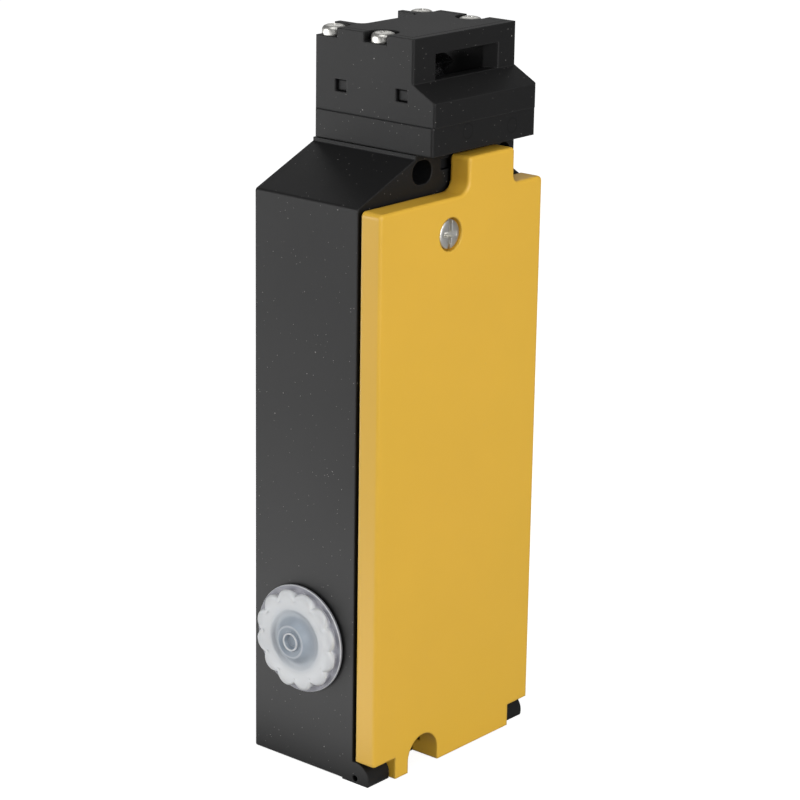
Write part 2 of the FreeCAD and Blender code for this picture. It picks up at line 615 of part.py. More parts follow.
def mirrored(side, low, high):
    """An X range given from the left side of the head, or its mirror on the right side."""
    if side < 0:
        return low, high
    return 2 * HEAD_X - high, 2 * HEAD_X - low


def seat_cut(side, along, radius, bottom):
    """The pocket for one screw head, open to the head's side and at the back to its corner."""
    x, y = HEAD_X + side, HEAD_Y + along
    low, high = mirrored(side, HEAD_X - BASE_WIDTH, HEAD_X - abs(side))
    back = y + radius if along == HEAD_SCREW_MIDDLE else HEAD_BACK + 1
    pieces = [rod("z", x, y, radius, bottom, HEAD_TOP + 1),
              block(low, high, y - radius, back, bottom, HEAD_TOP + 1)]
    if along == HEAD_SCREW_BACK:
        low, high = mirrored(side, HEAD_X - BASE_WIDTH, HEAD_X - abs(side) + radius)
        pieces.append(block(low, high, y, back, bottom, HEAD_TOP + 1))
    return join(pieces)


def top_slot_cut():
    """The top tongue slot, open to the back, with rounded inner corners."""
    pieces = [block(GUIDE_LEFT, GUIDE_RIGHT, TOP_SLOT_FRONT + TOP_SLOT_CORNER, HEAD_BACK + 1,
                    TOP_SLOT_FLOOR, HEAD_TOP + 1),
              block(GUIDE_LEFT + TOP_SLOT_CORNER, GUIDE_RIGHT - TOP_SLOT_CORNER, TOP_SLOT_FRONT,
                    TOP_SLOT_FRONT + TOP_SLOT_CORNER + 1, TOP_SLOT_FLOOR, HEAD_TOP + 1)]
    pieces += [rod("z", x, TOP_SLOT_FRONT + TOP_SLOT_CORNER, TOP_SLOT_CORNER, TOP_SLOT_FLOOR,
                   HEAD_TOP + 1)
               for x in (GUIDE_LEFT + TOP_SLOT_CORNER, GUIDE_RIGHT - TOP_SLOT_CORNER)]
    return join(pieces)


def head_housing():
    """The upper head: sloped front, two tongue slots, cam room, screw seats, hook windows."""
    side_view = [(HEAD_FRONT, BASE_TOP), (HEAD_BACK, BASE_TOP), (HEAD_BACK, HEAD_TOP),
                 (FACE_Y, HEAD_TOP), (FACE_Y, BASE_TOP + SLOPE_START + SLOPE_RISE),
                 (HEAD_FRONT, BASE_TOP + SLOPE_START)]
    solid = slab("x", side_view, HEAD_LEFT, HEAD_RIGHT)
    solid = soften(solid, 0.5, lambda at, way: abs(way.z) > 0.5 and at.y < FACE_Y + 0.1)
    room = block(GUIDE_LEFT, GUIDE_RIGHT, FACE_Y + FACE_WALL, HEAD_BACK - BACK_WALL,
                 BASE_TOP - 1, LID_BOTTOM + 1)
    mouth = slab("z", [(SLOT_LEFT, FACE_Y), (SLOT_LEFT, FACE_Y - 1), (SLOT_RIGHT, FACE_Y - 1),
                       (SLOT_RIGHT, FACE_Y), (GUIDE_RIGHT, FACE_Y + FACE_WALL),
                       (GUIDE_RIGHT, FACE_Y + FACE_WALL + 1), (GUIDE_LEFT, FACE_Y + FACE_WALL + 1),
                       (GUIDE_LEFT, FACE_Y + FACE_WALL)], SLOT_BOTTOM, SLOT_BOTTOM + SLOT_HEIGHT)
    seat = block(HEAD_LEFT + LID_MARGIN, HEAD_RIGHT - LID_MARGIN, FACE_Y + LID_MARGIN,
                 TOP_SLOT_FRONT + LID_MARGIN, LID_BOTTOM, HEAD_TOP + 1)
    half_axle = AXLE_LENGTH / 2 + 0.2
    axle = rod("x", CAM_Y, CAM_Z, AXLE_RADIUS + AXLE_PLAY, HEAD_X - half_axle, HEAD_X + half_axle)
    drop = block(HEAD_X - half_axle, HEAD_X + half_axle, CAM_Y - AXLE_RADIUS - AXLE_PLAY,
                 CAM_Y + AXLE_RADIUS + AXLE_PLAY, BASE_TOP - 1, CAM_Z)
    tools = [room, mouth, seat, axle, drop, top_slot_cut()]
    for side, along in HEAD_SCREW_PLACES:
        tools.append(rod("z", HEAD_X + side, HEAD_Y + along, HEAD_SCREW_RADIUS + 0.05,
                         BASE_TOP - 1, HEAD_TOP + 1))
        tools.append(seat_cut(side, along, SEAT_RADIUS, SCREW_SEAT))
    for side, low, high in hook_places():
        edge = HEAD_LEFT + LID_MARGIN
        x0, x1 = mirrored(side, HEAD_LEFT - 1, edge + HOOK_LEG)
        tools.append(block(x0, x1, low - 0.1, high + 0.1, HOOK_BOTTOM, HOOK_BOTTOM + HOOK_HEIGHT))
        x0, x1 = mirrored(side, edge - 0.05, edge + HOOK_LEG)
        tools.append(block(x0, x1, low - 0.1, high + 0.1, HOOK_BOTTOM, LID_BOTTOM + 1))
    return remove(solid, tools)


def head_lid():
    """The lid plate on the head, with four hooked legs that snap into the side windows."""
    left, right = HEAD_LEFT + LID_MARGIN + LID_GAP, HEAD_RIGHT - LID_MARGIN - LID_GAP
    plate = block(left, right, FACE_Y + LID_MARGIN + LID_GAP, TOP_SLOT_FRONT + LID_MARGIN - LID_GAP,
                  LID_BOTTOM, HEAD_TOP)
    tools = [top_slot_cut()]
    tools += [seat_cut(side, along, SEAT_RADIUS + LID_GAP, SCREW_SEAT - 1)
              for side, along in HEAD_SCREW_PLACES]
    plate = remove(plate, tools)
    pieces = [plate]
    for side, low, high in hook_places():
        top = LID_BOTTOM + 0.5
        x0, x1 = mirrored(side, left, left + HOOK_LEG - 0.3)
        pieces.append(block(x0, x1, low, high, HOOK_BOTTOM + 0.2, top))
        x0, x1 = mirrored(side, left - 1.1, left + 0.3)
        pieces.append(block(x0, x1, low, high, HOOK_BOTTOM + 0.2, HOOK_BOTTOM + HOOK_HEIGHT - 0.3))
    return join(pieces)


def head_screws():
    """Four long pan-head screws that clamp the upper head to its base."""
    screws = []
    for side, along in HEAD_SCREW_PLACES:
        x, y = HEAD_X + side, HEAD_Y + along
        crown = 0.7
        top = SCREW_SEAT + HEAD_SCREW_HEAD
        head = rod("z", x, y, HEAD_SCREW_HEAD_RADIUS, SCREW_SEAT, top - crown)
        dome = Part.makeCone(HEAD_SCREW_HEAD_RADIUS, HEAD_SCREW_HEAD_RADIUS - crown, crown,
                             Vector(x, y, top - crown))
        shank = rod("z", x, y, HEAD_SCREW_RADIUS, SCREW_SEAT - HEAD_SCREW_LENGTH, SCREW_SEAT + 1)
        cross = [block(x - a, x + a, y - b, y + b, top - 1.2, top + 1)
                 for a, b in ((1.6, 0.35), (0.35, 1.6))]
        screws.append(remove(join([head, dome, shank]), cross))
    return Part.Compound(screws)


# ---- cam and plunger -----------------------------------------------------------------------
def involute(roll):
    """A point of the cam's flank; its reach below the axle is base radius times roll."""
    turn = roll - CAM_REACH / CAM_BASE_RADIUS
    y = -CAM_BASE_RADIUS * (math.cos(turn) + roll * math.sin(turn))
    z = CAM_BASE_RADIUS * (math.sin(turn) - roll * math.cos(turn))
    return Vector(0, CAM_Y + y, CAM_Z + z)


def cam_lobe():
    """The middle lobe: an involute flank, so the plunger follows the turn in proportion."""
    start = CAM_REACH / CAM_BASE_RADIUS
    end = start - CAM_TURN - 0.09
    flank = Part.BSplineCurve()
    flank.interpolate([involute(start + (end - start) * step / 10) for step in range(11)])
    tip, heel = involute(start), involute(end)
    corners = [heel, Vector(0, CAM_Y + 2.5, CAM_Z - 3.4), Vector(0, CAM_Y, CAM_Z),
               Vector(0, CAM_Y - 4.0, CAM_Z), Vector(0, CAM_Y - 6.6, CAM_Z - 4.5),
               Vector(0, tip.y - 1.2, tip.z + 1.2), tip]
    outline = Part.Wire([flank.toShape()] + Part.makePolygon(corners).Edges)
    lobe = Part.Face(outline).extrude(Vector(CAM_LOBE_WIDTH, 0, 0))
    lobe.translate(Vector(HEAD_X - CAM_LOBE_WIDTH / 2, 0, 0))
    return lobe


def cam_wheel():
    """The metal wheel that the tongue turns: hub, toothed sector with two notches, lobe."""
    half = CAM_WHEEL_WIDTH / 2
    disc = rod("x", CAM_Y, CAM_Z, CAM_WHEEL_RADIUS, HEAD_X - half, HEAD_X + half)
    wedge = [(CAM_Y, CAM_Z)] + [(CAM_Y + 20 * math.cos(math.radians(angle)),
                                 CAM_Z + 20 * math.sin(math.radians(angle)))
                                for angle in (20, 62, 105, 148, 190)]
    sector = disc.common(slab("x", wedge, HEAD_X - half, HEAD_X + half))
    notches = []
    for angle in (60, 140):
        notch = block(HEAD_X - half - 1, HEAD_X + half + 1, CAM_Y + CAM_NOTCH_FLOOR, CAM_Y + 20,
                      CAM_Z - CAM_NOTCH_WIDTH / 2, CAM_Z + CAM_NOTCH_WIDTH / 2)
        notch.rotate(Vector(0, CAM_Y, CAM_Z), Vector(1, 0, 0), angle)
        notches.append(notch)
    hub = rod("x", CAM_Y, CAM_Z, CAM_HUB_RADIUS, HEAD_X - CAM_HUB_LENGTH / 2,
              HEAD_X + CAM_HUB_LENGTH / 2)
    solid = join([remove(sector, notches), hub, cam_lobe()])
    return remove(solid, [rod("x", CAM_Y, CAM_Z, AXLE_RADIUS, 0, WIDTH)])


def cam_axle():
    """The steel axle pressed through the cam wheel."""
    return rod("x", CAM_Y, CAM_Z, AXLE_RADIUS, HEAD_X - AXLE_LENGTH / 2, HEAD_X + AXLE_LENGTH / 2)


def plunger():
    """The steel plunger: follower disc, guide rod and the thin rod down to the lock collar."""
    return join([rod("z", HEAD_X, HEAD_Y, FOLLOWER_RADIUS, FOLLOWER_TOP - FOLLOWER_HEIGHT,
                     FOLLOWER_TOP),
                 rod("z", HEAD_X, HEAD_Y, ROD_RADIUS, ROD_STEP_Z, FOLLOWER_TOP - 1),
                 rod("z", HEAD_X, HEAD_Y, LOWER_ROD_RADIUS, COLLAR_TOP, ROD_STEP_Z + 1)])


def lock_collar():
    """The collar on the plunger's end that the bolt blocks."""
    return rod("z", HEAD_X, HEAD_Y, COLLAR_RADIUS, COLLAR_TOP - COLLAR_HEIGHT, COLLAR_TOP)


def plunger_spring():
    """The spring that lifts the plunger, between its guide and the follower disc."""
    bottom = GUIDE_LEDGE_Z + GUIDE_FLANGE
    return coil((HEAD_X, HEAD_Y), (ROD_RADIUS + SPIGOT_BORE) / 2, 0.35, bottom + 0.05,
                FOLLOWER_TOP - FOLLOWER_HEIGHT - 0.05, 4)


def plunger_guide():
    """The flanged bush that guides the plunger at the bottom of the neck."""
    solid = join([rod("z", HEAD_X, HEAD_Y, SPIGOT_RADIUS - 0.1, GUIDE_LEDGE_Z,
                      GUIDE_LEDGE_Z + GUIDE_FLANGE),
                  rod("z", HEAD_X, HEAD_Y, GUIDE_BUSH_RADIUS, CAVITY_TOP - 1, GUIDE_LEDGE_Z + 1)])
    return remove(solid, [rod("z", HEAD_X, HEAD_Y, ROD_RADIUS + ROD_PLAY, 0, HEAD_TOP),
                          rod("z", HEAD_X, HEAD_Y, GUIDE_SEAL_RADIUS, 0,
                              CAVITY_TOP - 1 + GUIDE_SEAL_HEIGHT)])


def plunger_seal():
    """The wiper ring in the underside of the plunger guide."""
    return tube("z", HEAD_X, HEAD_Y, GUIDE_SEAL_RADIUS, ROD_RADIUS + ROD_PLAY, CAVITY_TOP - 1,
                CAVITY_TOP - 1 + GUIDE_SEAL_HEIGHT)


def retaining_fork():
    """The fork pushed in from the front, which holds the spigot by its groove."""
    half = HEAD_X - FORK_SLOT_LEFT - PLAY
    bottom = FORK_Z + (FORK_SLOT - FORK_THICKNESS) / 2
    top = bottom + FORK_THICKNESS
    plate = block(HEAD_X - half, HEAD_X + half, BODY_FRONT + FORK_SUNK, HEAD_Y + 5.6, bottom, top)
    inner = GROOVE_RADIUS + PLAY
    return remove(plate, [rod("z", HEAD_X, HEAD_Y, inner, bottom - 1, top + 1),
                          block(HEAD_X - inner, HEAD_X + inner, HEAD_Y, DEPTH, bottom - 1,
                                top + 1)])


# ---- contacts ------------------------------------------------------------------------------
def contact_block():
    """The moulded block round the contacts: corner posts, chambers and rod holes."""
    solid = block(BLOCK_LEFT, BLOCK_RIGHT, BLOCK_FRONT, FRAME_FRONT, BLOCK_BOTTOM, BLOCK_TOP)
    half = CHAMBER_WIDTH / 2
    middle = block(HEAD_X - half, HEAD_X + half, BLOCK_FRONT - 1, FRAME_FRONT - 3,
                   BLOCK_BOTTOM + BLOCK_WALL, BLOCK_TOP - BLOCK_WALL)
    across = block(BLOCK_LEFT + BLOCK_WALL, BLOCK_RIGHT - BLOCK_WALL, BLOCK_FRONT - 1,
                   BACK_BAR_Y + 3.2, CONTACT_Z - 9.0, CONTACT_Z + 1.4)
    tools = [middle, across, rod("z", HEAD_X, HEAD_Y, ROD_RADIUS + PLAY, CONTACT_Z, HEAD_TOP),
             rod("z", HEAD_X, HEAD_Y, LOWER_ROD_RADIUS + PLAY, 0, CONTACT_Z)]
    tools += [rod("y", HEAD_X + side, z, TERMINAL_HEAD_RADIUS - 0.7, 0,
                  BLOCK_FRONT + TERMINAL_GRIP + PLAY) for side, z in TERMINAL_PLACES]
    return remove(solid, tools)


def fixed_contact(side, back):
    """One brass contact strip: a terminal tab at the front, an arm and a silver contact."""
    edge = BLOCK_WIDTH / 2 - BLOCK_WALL - 0.2
    root = BLOCK_WIDTH / 2 - 1
    low, high = CONTACT_Z + 0.5, CONTACT_Z + 0.5 + CONTACT_SHEET
    front, tab = BLOCK_FRONT - CONTACT_SHEET, BLOCK_FRONT
    foot, crown = BLOCK_BOTTOM + TAB_FOOT, BLOCK_BOTTOM + TAB_FOOT + TAB_HEIGHT
    y = BACK_BAR_Y if back else FRONT_BAR_Y
    end = y + 2.0

    def bar(near, far, y0, y1, z0, z1):
        left, right = sorted((HEAD_X + side * near, HEAD_X + side * far))
        return block(left, right, y0, y1, z0, z1)

    if back:
        pieces = [bar(CONTACT_INNER, root, front, tab, foot, crown),
                  bar(edge - CONTACT_SHEET, edge, front, end, crown - 1.3, crown),
                  bar(edge - CONTACT_SHEET, edge, y - 2.0, end, crown - 1.3, high),
                  bar(CONTACT_INNER, edge, y - 2.0, end, low, high)]
    else:
        pieces = [bar(CONTACT_INNER, root, front, tab, low, BLOCK_TOP - 0.5),
                  bar(CONTACT_INNER, edge, front, end, low, high)]
    pieces.append(rod("z", HEAD_X + side * CONTACT_SPREAD, y, CONTACT_RADIUS, CONTACT_Z,
                      low + CONTACT_SHEET / 2))
    hole = [rod("y", HEAD_X + side * TERMINAL_OFFSET, z, TERMINAL_HEAD_RADIUS - 0.7, 0, tab + 1)
            for z in TERMINAL_HEIGHTS]
    return remove(join(pieces), hole)


def fixed_contacts():
    """The four fixed contact strips."""
    return Part.Compound([fixed_contact(side, back) for side in (-1, 1) for back in (False, True)])


def contact_carrier():
    """The plastic slide on the plunger with a window for each contact bar."""
    half = CARRIER_WIDTH / 2
    solid = block(HEAD_X - half, HEAD_X + half, FRONT_BAR_Y - 2.3, BACK_BAR_Y + 2.3,
                  CARRIER_BOTTOM, ROD_STEP_Z)
    windows = [block(HEAD_X - half - 1, HEAD_X + half + 1, y - BAR_WIDTH / 2 - 0.2,
                     y + BAR_WIDTH / 2 + 0.2, CARRIER_BOTTOM + 2.5, BAR_TOP)
               for y in (FRONT_BAR_Y, BACK_BAR_Y)]
    return remove(solid, windows + [rod("z", HEAD_X, HEAD_Y, LOWER_ROD_RADIUS, 0, HEAD_TOP)])


def contact_bridges():
    """The two moving contact bars, each with a silver contact at both ends."""
    bars = []
    for y in (FRONT_BAR_Y, BACK_BAR_Y):
        bar = block(HEAD_X - BAR_LENGTH / 2, HEAD_X + BAR_LENGTH / 2, y - BAR_WIDTH / 2,
                    y + BAR_WIDTH / 2, BAR_TOP - BAR_THICKNESS, BAR_TOP)
        tips = [rod("z", HEAD_X + side * CONTACT_SPREAD, y, CONTACT_RADIUS, BAR_TOP - 0.2,
                    BAR_TOP + 0.5) for side in (-1, 1)]
        bars.append(join([bar] + tips))
    return Part.Compound(bars)


def contact_springs():
    """The springs that press each contact bar up in its window."""
    return Part.Compound([coil((HEAD_X, y), CONTACT_SPRING_RADIUS, CONTACT_WIRE,
                               CARRIER_BOTTOM + 2.55, BAR_TOP - BAR_THICKNESS - 0.05, 4)
                          for y in (FRONT_BAR_Y, BACK_BAR_Y)])


def slotted_screw(x, z, front, head, radius, depth):
    """A screw along Y with a slotted head whose face is at front."""
    solid = join([rod("y", x, z, head, front, front + TERMINAL_HEAD),
                  rod("y", x, z, radius, front, front + TERMINAL_HEAD + depth)])
    return remove(solid, [block(x - head, x + head, front - 1, front + 0.8, z - 0.3, z + 0.3)])


def terminal_screws():
    """The terminal screws of the contact block and of the terminal strip."""
    shank = TERMINAL_HEAD_RADIUS - 0.75
    front = BLOCK_FRONT - CONTACT_SHEET - TERMINAL_HEAD
    grip = CONTACT_SHEET + TERMINAL_GRIP
    screws = [slotted_screw(HEAD_X + side, z, front, TERMINAL_HEAD_RADIUS, shank, grip)
              for side, z in TERMINAL_PLACES]
    for cell in range(STRIP_CELLS):
        x = STRIP_LEFT + (cell + 0.5) * STRIP_PITCH
        screws.append(slotted_screw(x, STRIP_BOTTOM + STRIP_HEIGHT - 5, STRIP_FRONT + 0.4,
                                    TERMINAL_HEAD_RADIUS - 0.4, 1.2, 4.0))
    return Part.Compound(screws)


def terminal_strip():
    """The terminal strip for the solenoid, with a screw well and a wire hole per cell."""
    solid = block(STRIP_LEFT, STRIP_LEFT + STRIP_CELLS * STRIP_PITCH, STRIP_FRONT, FRAME_FRONT,
                  STRIP_BOTTOM, STRIP_BOTTOM + STRIP_HEIGHT)
    tools = []
    for cell in range(STRIP_CELLS):
        x = STRIP_LEFT + (cell + 0.5) * STRIP_PITCH
        z = STRIP_BOTTOM + STRIP_HEIGHT - 5
        tools += [rod("y", x, z, TERMINAL_HEAD_RADIUS - 0.2, STRIP_FRONT - 1,
                      STRIP_FRONT + 0.4 + TERMINAL_HEAD),
                  rod("y", x, z, 1.25, STRIP_FRONT, STRIP_FRONT + 6.4),
                  block(x - 1.5, x + 1.5, STRIP_FRONT + 3, STRIP_FRONT + 6.5, STRIP_BOTTOM - 1,
                        STRIP_BOTTOM + 6)]
        if cell:
            wall = STRIP_LEFT + cell * STRIP_PITCH
            tools.append(block(wall - 0.4, wall + 0.4, STRIP_FRONT - 1, STRIP_FRONT + 2,
                               STRIP_BOTTOM - 1, STRIP_BOTTOM + STRIP_HEIGHT + 1))
    return remove(solid, tools)


# ---- inner frame ---------------------------------------------------------------------------
def inner_frame():
    """The plate on the housing's back wall that carries the solenoid, blocks and strip."""
    clear = ENTRY_LENGTH + 0.5
    step = ENTRY_Z + ENTRY_RADIUS + ENTRY_BOSS_WALL + 1
    outline = [(clear, FRAME_BOTTOM), (FRAME_RIGHT, FRAME_BOTTOM), (FRAME_RIGHT, FRAME_TOP),
               (FRAME_LEFT, FRAME_TOP), (FRAME_LEFT, step), (clear, step)]
    plate = slab("y", outline, FRAME_FRONT, BACK_INSIDE)
    yoke_back = COIL_Y + YOKE_WIDTH / 2
    rests = [block(YOKE_LEFT + 2, YOKE_RIGHT - 1, yoke_back, FRAME_FRONT + 1,
                   COIL_Z - YOKE_HEIGHT / 2 + 1, COIL_Z + YOKE_HEIGHT / 2 - 1),
             block(MONITOR_LEFT + 2, MONITOR_LEFT + MONITOR_LENGTH - 2,
                   COIL_Y + MONITOR_DEPTH / 2, FRAME_FRONT + 1,
                   MONITOR_Z - MONITOR_HEIGHT / 2 + 1, MONITOR_Z + MONITOR_HEIGHT / 2 - 1)]
    tools = [rod("y", x, z, FRAME_SCREW_RADIUS + 0.05, 0, DEPTH) for x, z in FRAME_SCREW_PLACES]
    tools.append(rounded("y", 33.0, 48.0, 67.0, 88.0, 2.0, 0, DEPTH))
    return remove(join([plate] + rests), tools)


def frame_screws():
    """The screws that hold the inner frame to the housing."""
    return Part.Compound([slotted_screw(x, z, FRAME_FRONT - TERMINAL_HEAD, 2.7,
                                        FRAME_SCREW_RADIUS, FRAME_SCREW_GRIP)
                          for x, z in FRAME_SCREW_PLACES])


# ---- solenoid and lock ---------------------------------------------------------------------
def solenoid_yoke():
    """The steel frame round the coil, with holes for the core and the armature."""
    y0, y1 = COIL_Y - YOKE_WIDTH / 2, COIL_Y + YOKE_WIDTH / 2
    z0, z1 = COIL_Z - YOKE_HEIGHT / 2, COIL_Z + YOKE_HEIGHT / 2
    solid = block(YOKE_LEFT, YOKE_RIGHT, y0, y1, z0, z1)
    return remove(solid, [block(YOKE_LEFT + YOKE_SHEET, YOKE_RIGHT - YOKE_SHEET, y0 - 1, y1 + 1,
                                z0 + YOKE_SHEET, z1 - YOKE_SHEET),
                          rod("x", COIL_Y, COIL_Z, CORE_RADIUS, 0, YOKE_LEFT + YOKE_SHEET + 1),
                          rod("x", COIL_Y, COIL_Z, CORE_RADIUS + LOCK_PLAY, YOKE_RIGHT - 3,
                              YOKE_RIGHT + 1)])


def solenoid_bobbin():
    """The plastic spool that the coil is wound on."""
    start, end = YOKE_LEFT + YOKE_SHEET, YOKE_RIGHT - YOKE_SHEET
    spool = join([rod("x", COIL_Y, COIL_Z, BOBBIN_TUBE_RADIUS, start, end),
                  rod("x", COIL_Y, COIL_Z, BOBBIN_FLANGE_RADIUS, start, start + BOBBIN_FLANGE),
                  rod("x", COIL_Y, COIL_Z, BOBBIN_FLANGE_RADIUS, end - BOBBIN_FLANGE, end)])
    return remove(spool, [rod("x", COIL_Y, COIL_Z, BOBBIN_BORE, start - 1, end + 1)])


def solenoid_coil():
    """The copper winding between the spool's flanges."""
    start = YOKE_LEFT + YOKE_SHEET + BOBBIN_FLANGE
    end = YOKE_RIGHT - YOKE_SHEET - BOBBIN_FLANGE
    return tube("x", COIL_Y, COIL_Z, COIL_RADIUS, BOBBIN_TUBE_RADIUS + 0.02, start + 0.02,
                end - 0.02)


def solenoid_core():
    """The fixed iron core, with a pocket for the lock spring."""
    return remove(rod("x", COIL_Y, COIL_Z, CORE_RADIUS, YOKE_LEFT, CORE_END),
                  [rod("x", COIL_Y, COIL_Z, LOCK_SPRING_RADIUS + 0.5,
                       CORE_END - LOCK_SPRING_POCKET, CORE_END + 1)])


def lock_bolt():
    """The armature and the locking bolt turned on its end."""
    shoulder = YOKE_RIGHT + 0.6
    solid = join([rod("x", COIL_Y, COIL_Z, CORE_RADIUS, ARMATURE_LEFT, shoulder),
                  rod("x", COIL_Y, COIL_Z, BOLT_RADIUS, shoulder - 1, BOLT_TIP)])
    return remove(solid, [rod("x", COIL_Y, COIL_Z, LOCK_SPRING_RADIUS + 0.5, 0,
                              ARMATURE_LEFT + LOCK_SPRING_POCKET)])


def lock_spring():
    """The spring between core and armature that pushes the bolt out."""
    start = CORE_END - LOCK_SPRING_POCKET + 0.05
    end = ARMATURE_LEFT + LOCK_SPRING_POCKET - 0.05
    spring = coil((0, 0), LOCK_SPRING_RADIUS, 0.3, 0, end - start, 5)
    spring.rotate(Vector(0, 0, 0), Vector(0, 1, 0), 90)
    spring.translate(Vector(start, COIL_Y, COIL_Z))
    return spring


def bolt_finger():
    """The plate on the bolt that reaches down to the monitoring switch."""
    plate = rounded("x", COIL_Y - FINGER_WIDTH / 2, COIL_Y + FINGER_WIDTH / 2, FINGER_BOTTOM,
                    COIL_Z + FINGER_RISE, 1.0, FINGER_RIGHT - FINGER_THICKNESS, FINGER_RIGHT)
    return remove(plate, [rod("x", COIL_Y, COIL_Z, BOLT_RADIUS, 0, WIDTH)])


def monitor_switch():
    """The small switch that tells whether the bolt is out."""
    right = MONITOR_LEFT + MONITOR_LENGTH
    solid = rounded("y", MONITOR_LEFT, right, MONITOR_Z - MONITOR_HEIGHT / 2,
                    MONITOR_Z + MONITOR_HEIGHT / 2, 1.0, COIL_Y - MONITOR_DEPTH / 2,
                    COIL_Y + MONITOR_DEPTH / 2)
    return remove(solid, [rod("x", COIL_Y, MONITOR_Z, BUTTON_RADIUS + PIN_PLAY,
                              right - BUTTON_GRIP - LOCK_STROKE - PLAY, right + 1)])


def monitor_button():
    """The monitoring switch's push button."""
    return rod("x", COIL_Y, MONITOR_Z, BUTTON_RADIUS, MONITOR_LEFT + MONITOR_LENGTH - BUTTON_GRIP,
               FINGER_RIGHT - FINGER_THICKNESS - LOCK_PLAY)


PIECES = [housing, cover, cover_gasket, hinge_pin_left, hinge_pin_right, cover_screw,
          screw_keeper, dust_cap, dust_cap_seal, head_base, head_spigot, head_housing, head_lid,
          head_screws, cam_wheel, cam_axle, plunger, lock_collar, plunger_spring,
          plunger_guide, plunger_seal,
          retaining_fork, contact_block, fixed_contacts, contact_carrier, contact_bridges,
          contact_springs, terminal_screws, terminal_strip, inner_frame, frame_screws,
          solenoid_yoke, solenoid_bobbin, solenoid_coil, solenoid_core, lock_bolt, lock_spring,
          bolt_finger, monitor_switch, monitor_button]


def main():
    """Build every piece and write its file under its own name."""
    os.makedirs("parts", exist_ok=True)
    for piece in PIECES:
        save(piece.__name__, piece())


main()
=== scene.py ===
"""Dresses a tongue-operated interlock switch: body, cover, turnable head and inner parts."""
import json
import logging
import math
from dataclasses import dataclass, field
from enum import Enum
from typing import Callable, Dict, List, Optional, Sequence, Tuple, Union

import bpy
from mathutils import Matrix, Vector


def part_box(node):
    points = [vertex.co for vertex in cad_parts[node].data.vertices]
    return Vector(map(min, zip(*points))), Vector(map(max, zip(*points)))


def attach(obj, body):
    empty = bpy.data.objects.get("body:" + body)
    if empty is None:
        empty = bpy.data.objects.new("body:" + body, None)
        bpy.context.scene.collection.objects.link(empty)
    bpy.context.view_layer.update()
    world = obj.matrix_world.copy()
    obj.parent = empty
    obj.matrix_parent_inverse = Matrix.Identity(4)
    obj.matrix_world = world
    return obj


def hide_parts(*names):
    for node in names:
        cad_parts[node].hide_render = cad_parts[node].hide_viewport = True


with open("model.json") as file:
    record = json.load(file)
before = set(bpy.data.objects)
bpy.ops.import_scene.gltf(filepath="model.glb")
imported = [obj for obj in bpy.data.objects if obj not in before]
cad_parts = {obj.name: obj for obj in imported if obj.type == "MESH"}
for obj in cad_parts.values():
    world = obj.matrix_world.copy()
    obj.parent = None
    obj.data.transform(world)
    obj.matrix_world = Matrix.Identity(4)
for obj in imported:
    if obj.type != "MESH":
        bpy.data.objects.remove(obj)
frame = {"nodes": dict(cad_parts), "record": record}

LOG = logging.getLogger("interlock_switch")
MM = 0.001
Colour = Tuple[float, float, float]
Profile = Sequence[Tuple[float, float]]
Value = Union["Wire", float]


# ---- node graphs ---------------------------------------------------------------------------
class Wire:
    """An output socket that turns Python arithmetic into Math nodes."""

    def __init__(self, graph: "Graph", socket: bpy.types.NodeSocket) -> None:
        """Keep the socket and the graph that new nodes go into."""
        self.graph = graph
        self.socket = socket

    def _math(self, operation: str, left: Value, right: Value = 0.0) -> "Wire":
        """Add one Math node.

        Args:
            operation: The Math node's operation.
            left: The first value.
            right: The second value.

        Returns:
            The node's result.
        """
        return self.graph.add("ShaderNodeMath", {"operation": operation}, {0: left, 1: right})

    def __add__(self, other: Value) -> "Wire":
        """Sum."""
        return self._math("ADD", self, other)

    __radd__ = __add__

    def __sub__(self, other: Value) -> "Wire":
        """Difference."""
        return self._math("SUBTRACT", self, other)

    def __rsub__(self, other: Value) -> "Wire":
        """Reflected difference, so that 1 - mask works."""
        return self._math("SUBTRACT", other, self)

    def __mul__(self, other: Value) -> "Wire":
        """Product."""
        return self._math("MULTIPLY", self, other)

    __rmul__ = __mul__

    def __lt__(self, other: Value) -> "Wire":
        """1 where this is less than the other value."""
        return self._math("LESS_THAN", self, other)

    def __gt__(self, other: Value) -> "Wire":
        """1 where this is greater than the other value."""
        return self._math("GREATER_THAN", self, other)

    def clamped(self) -> "Wire":
        """The value held between 0 and 1."""
        return self.graph.add("ShaderNodeClamp", {}, {"Value": self})

    def root(self) -> "Wire":
        """The square root."""
        return self._math("SQRT", self)


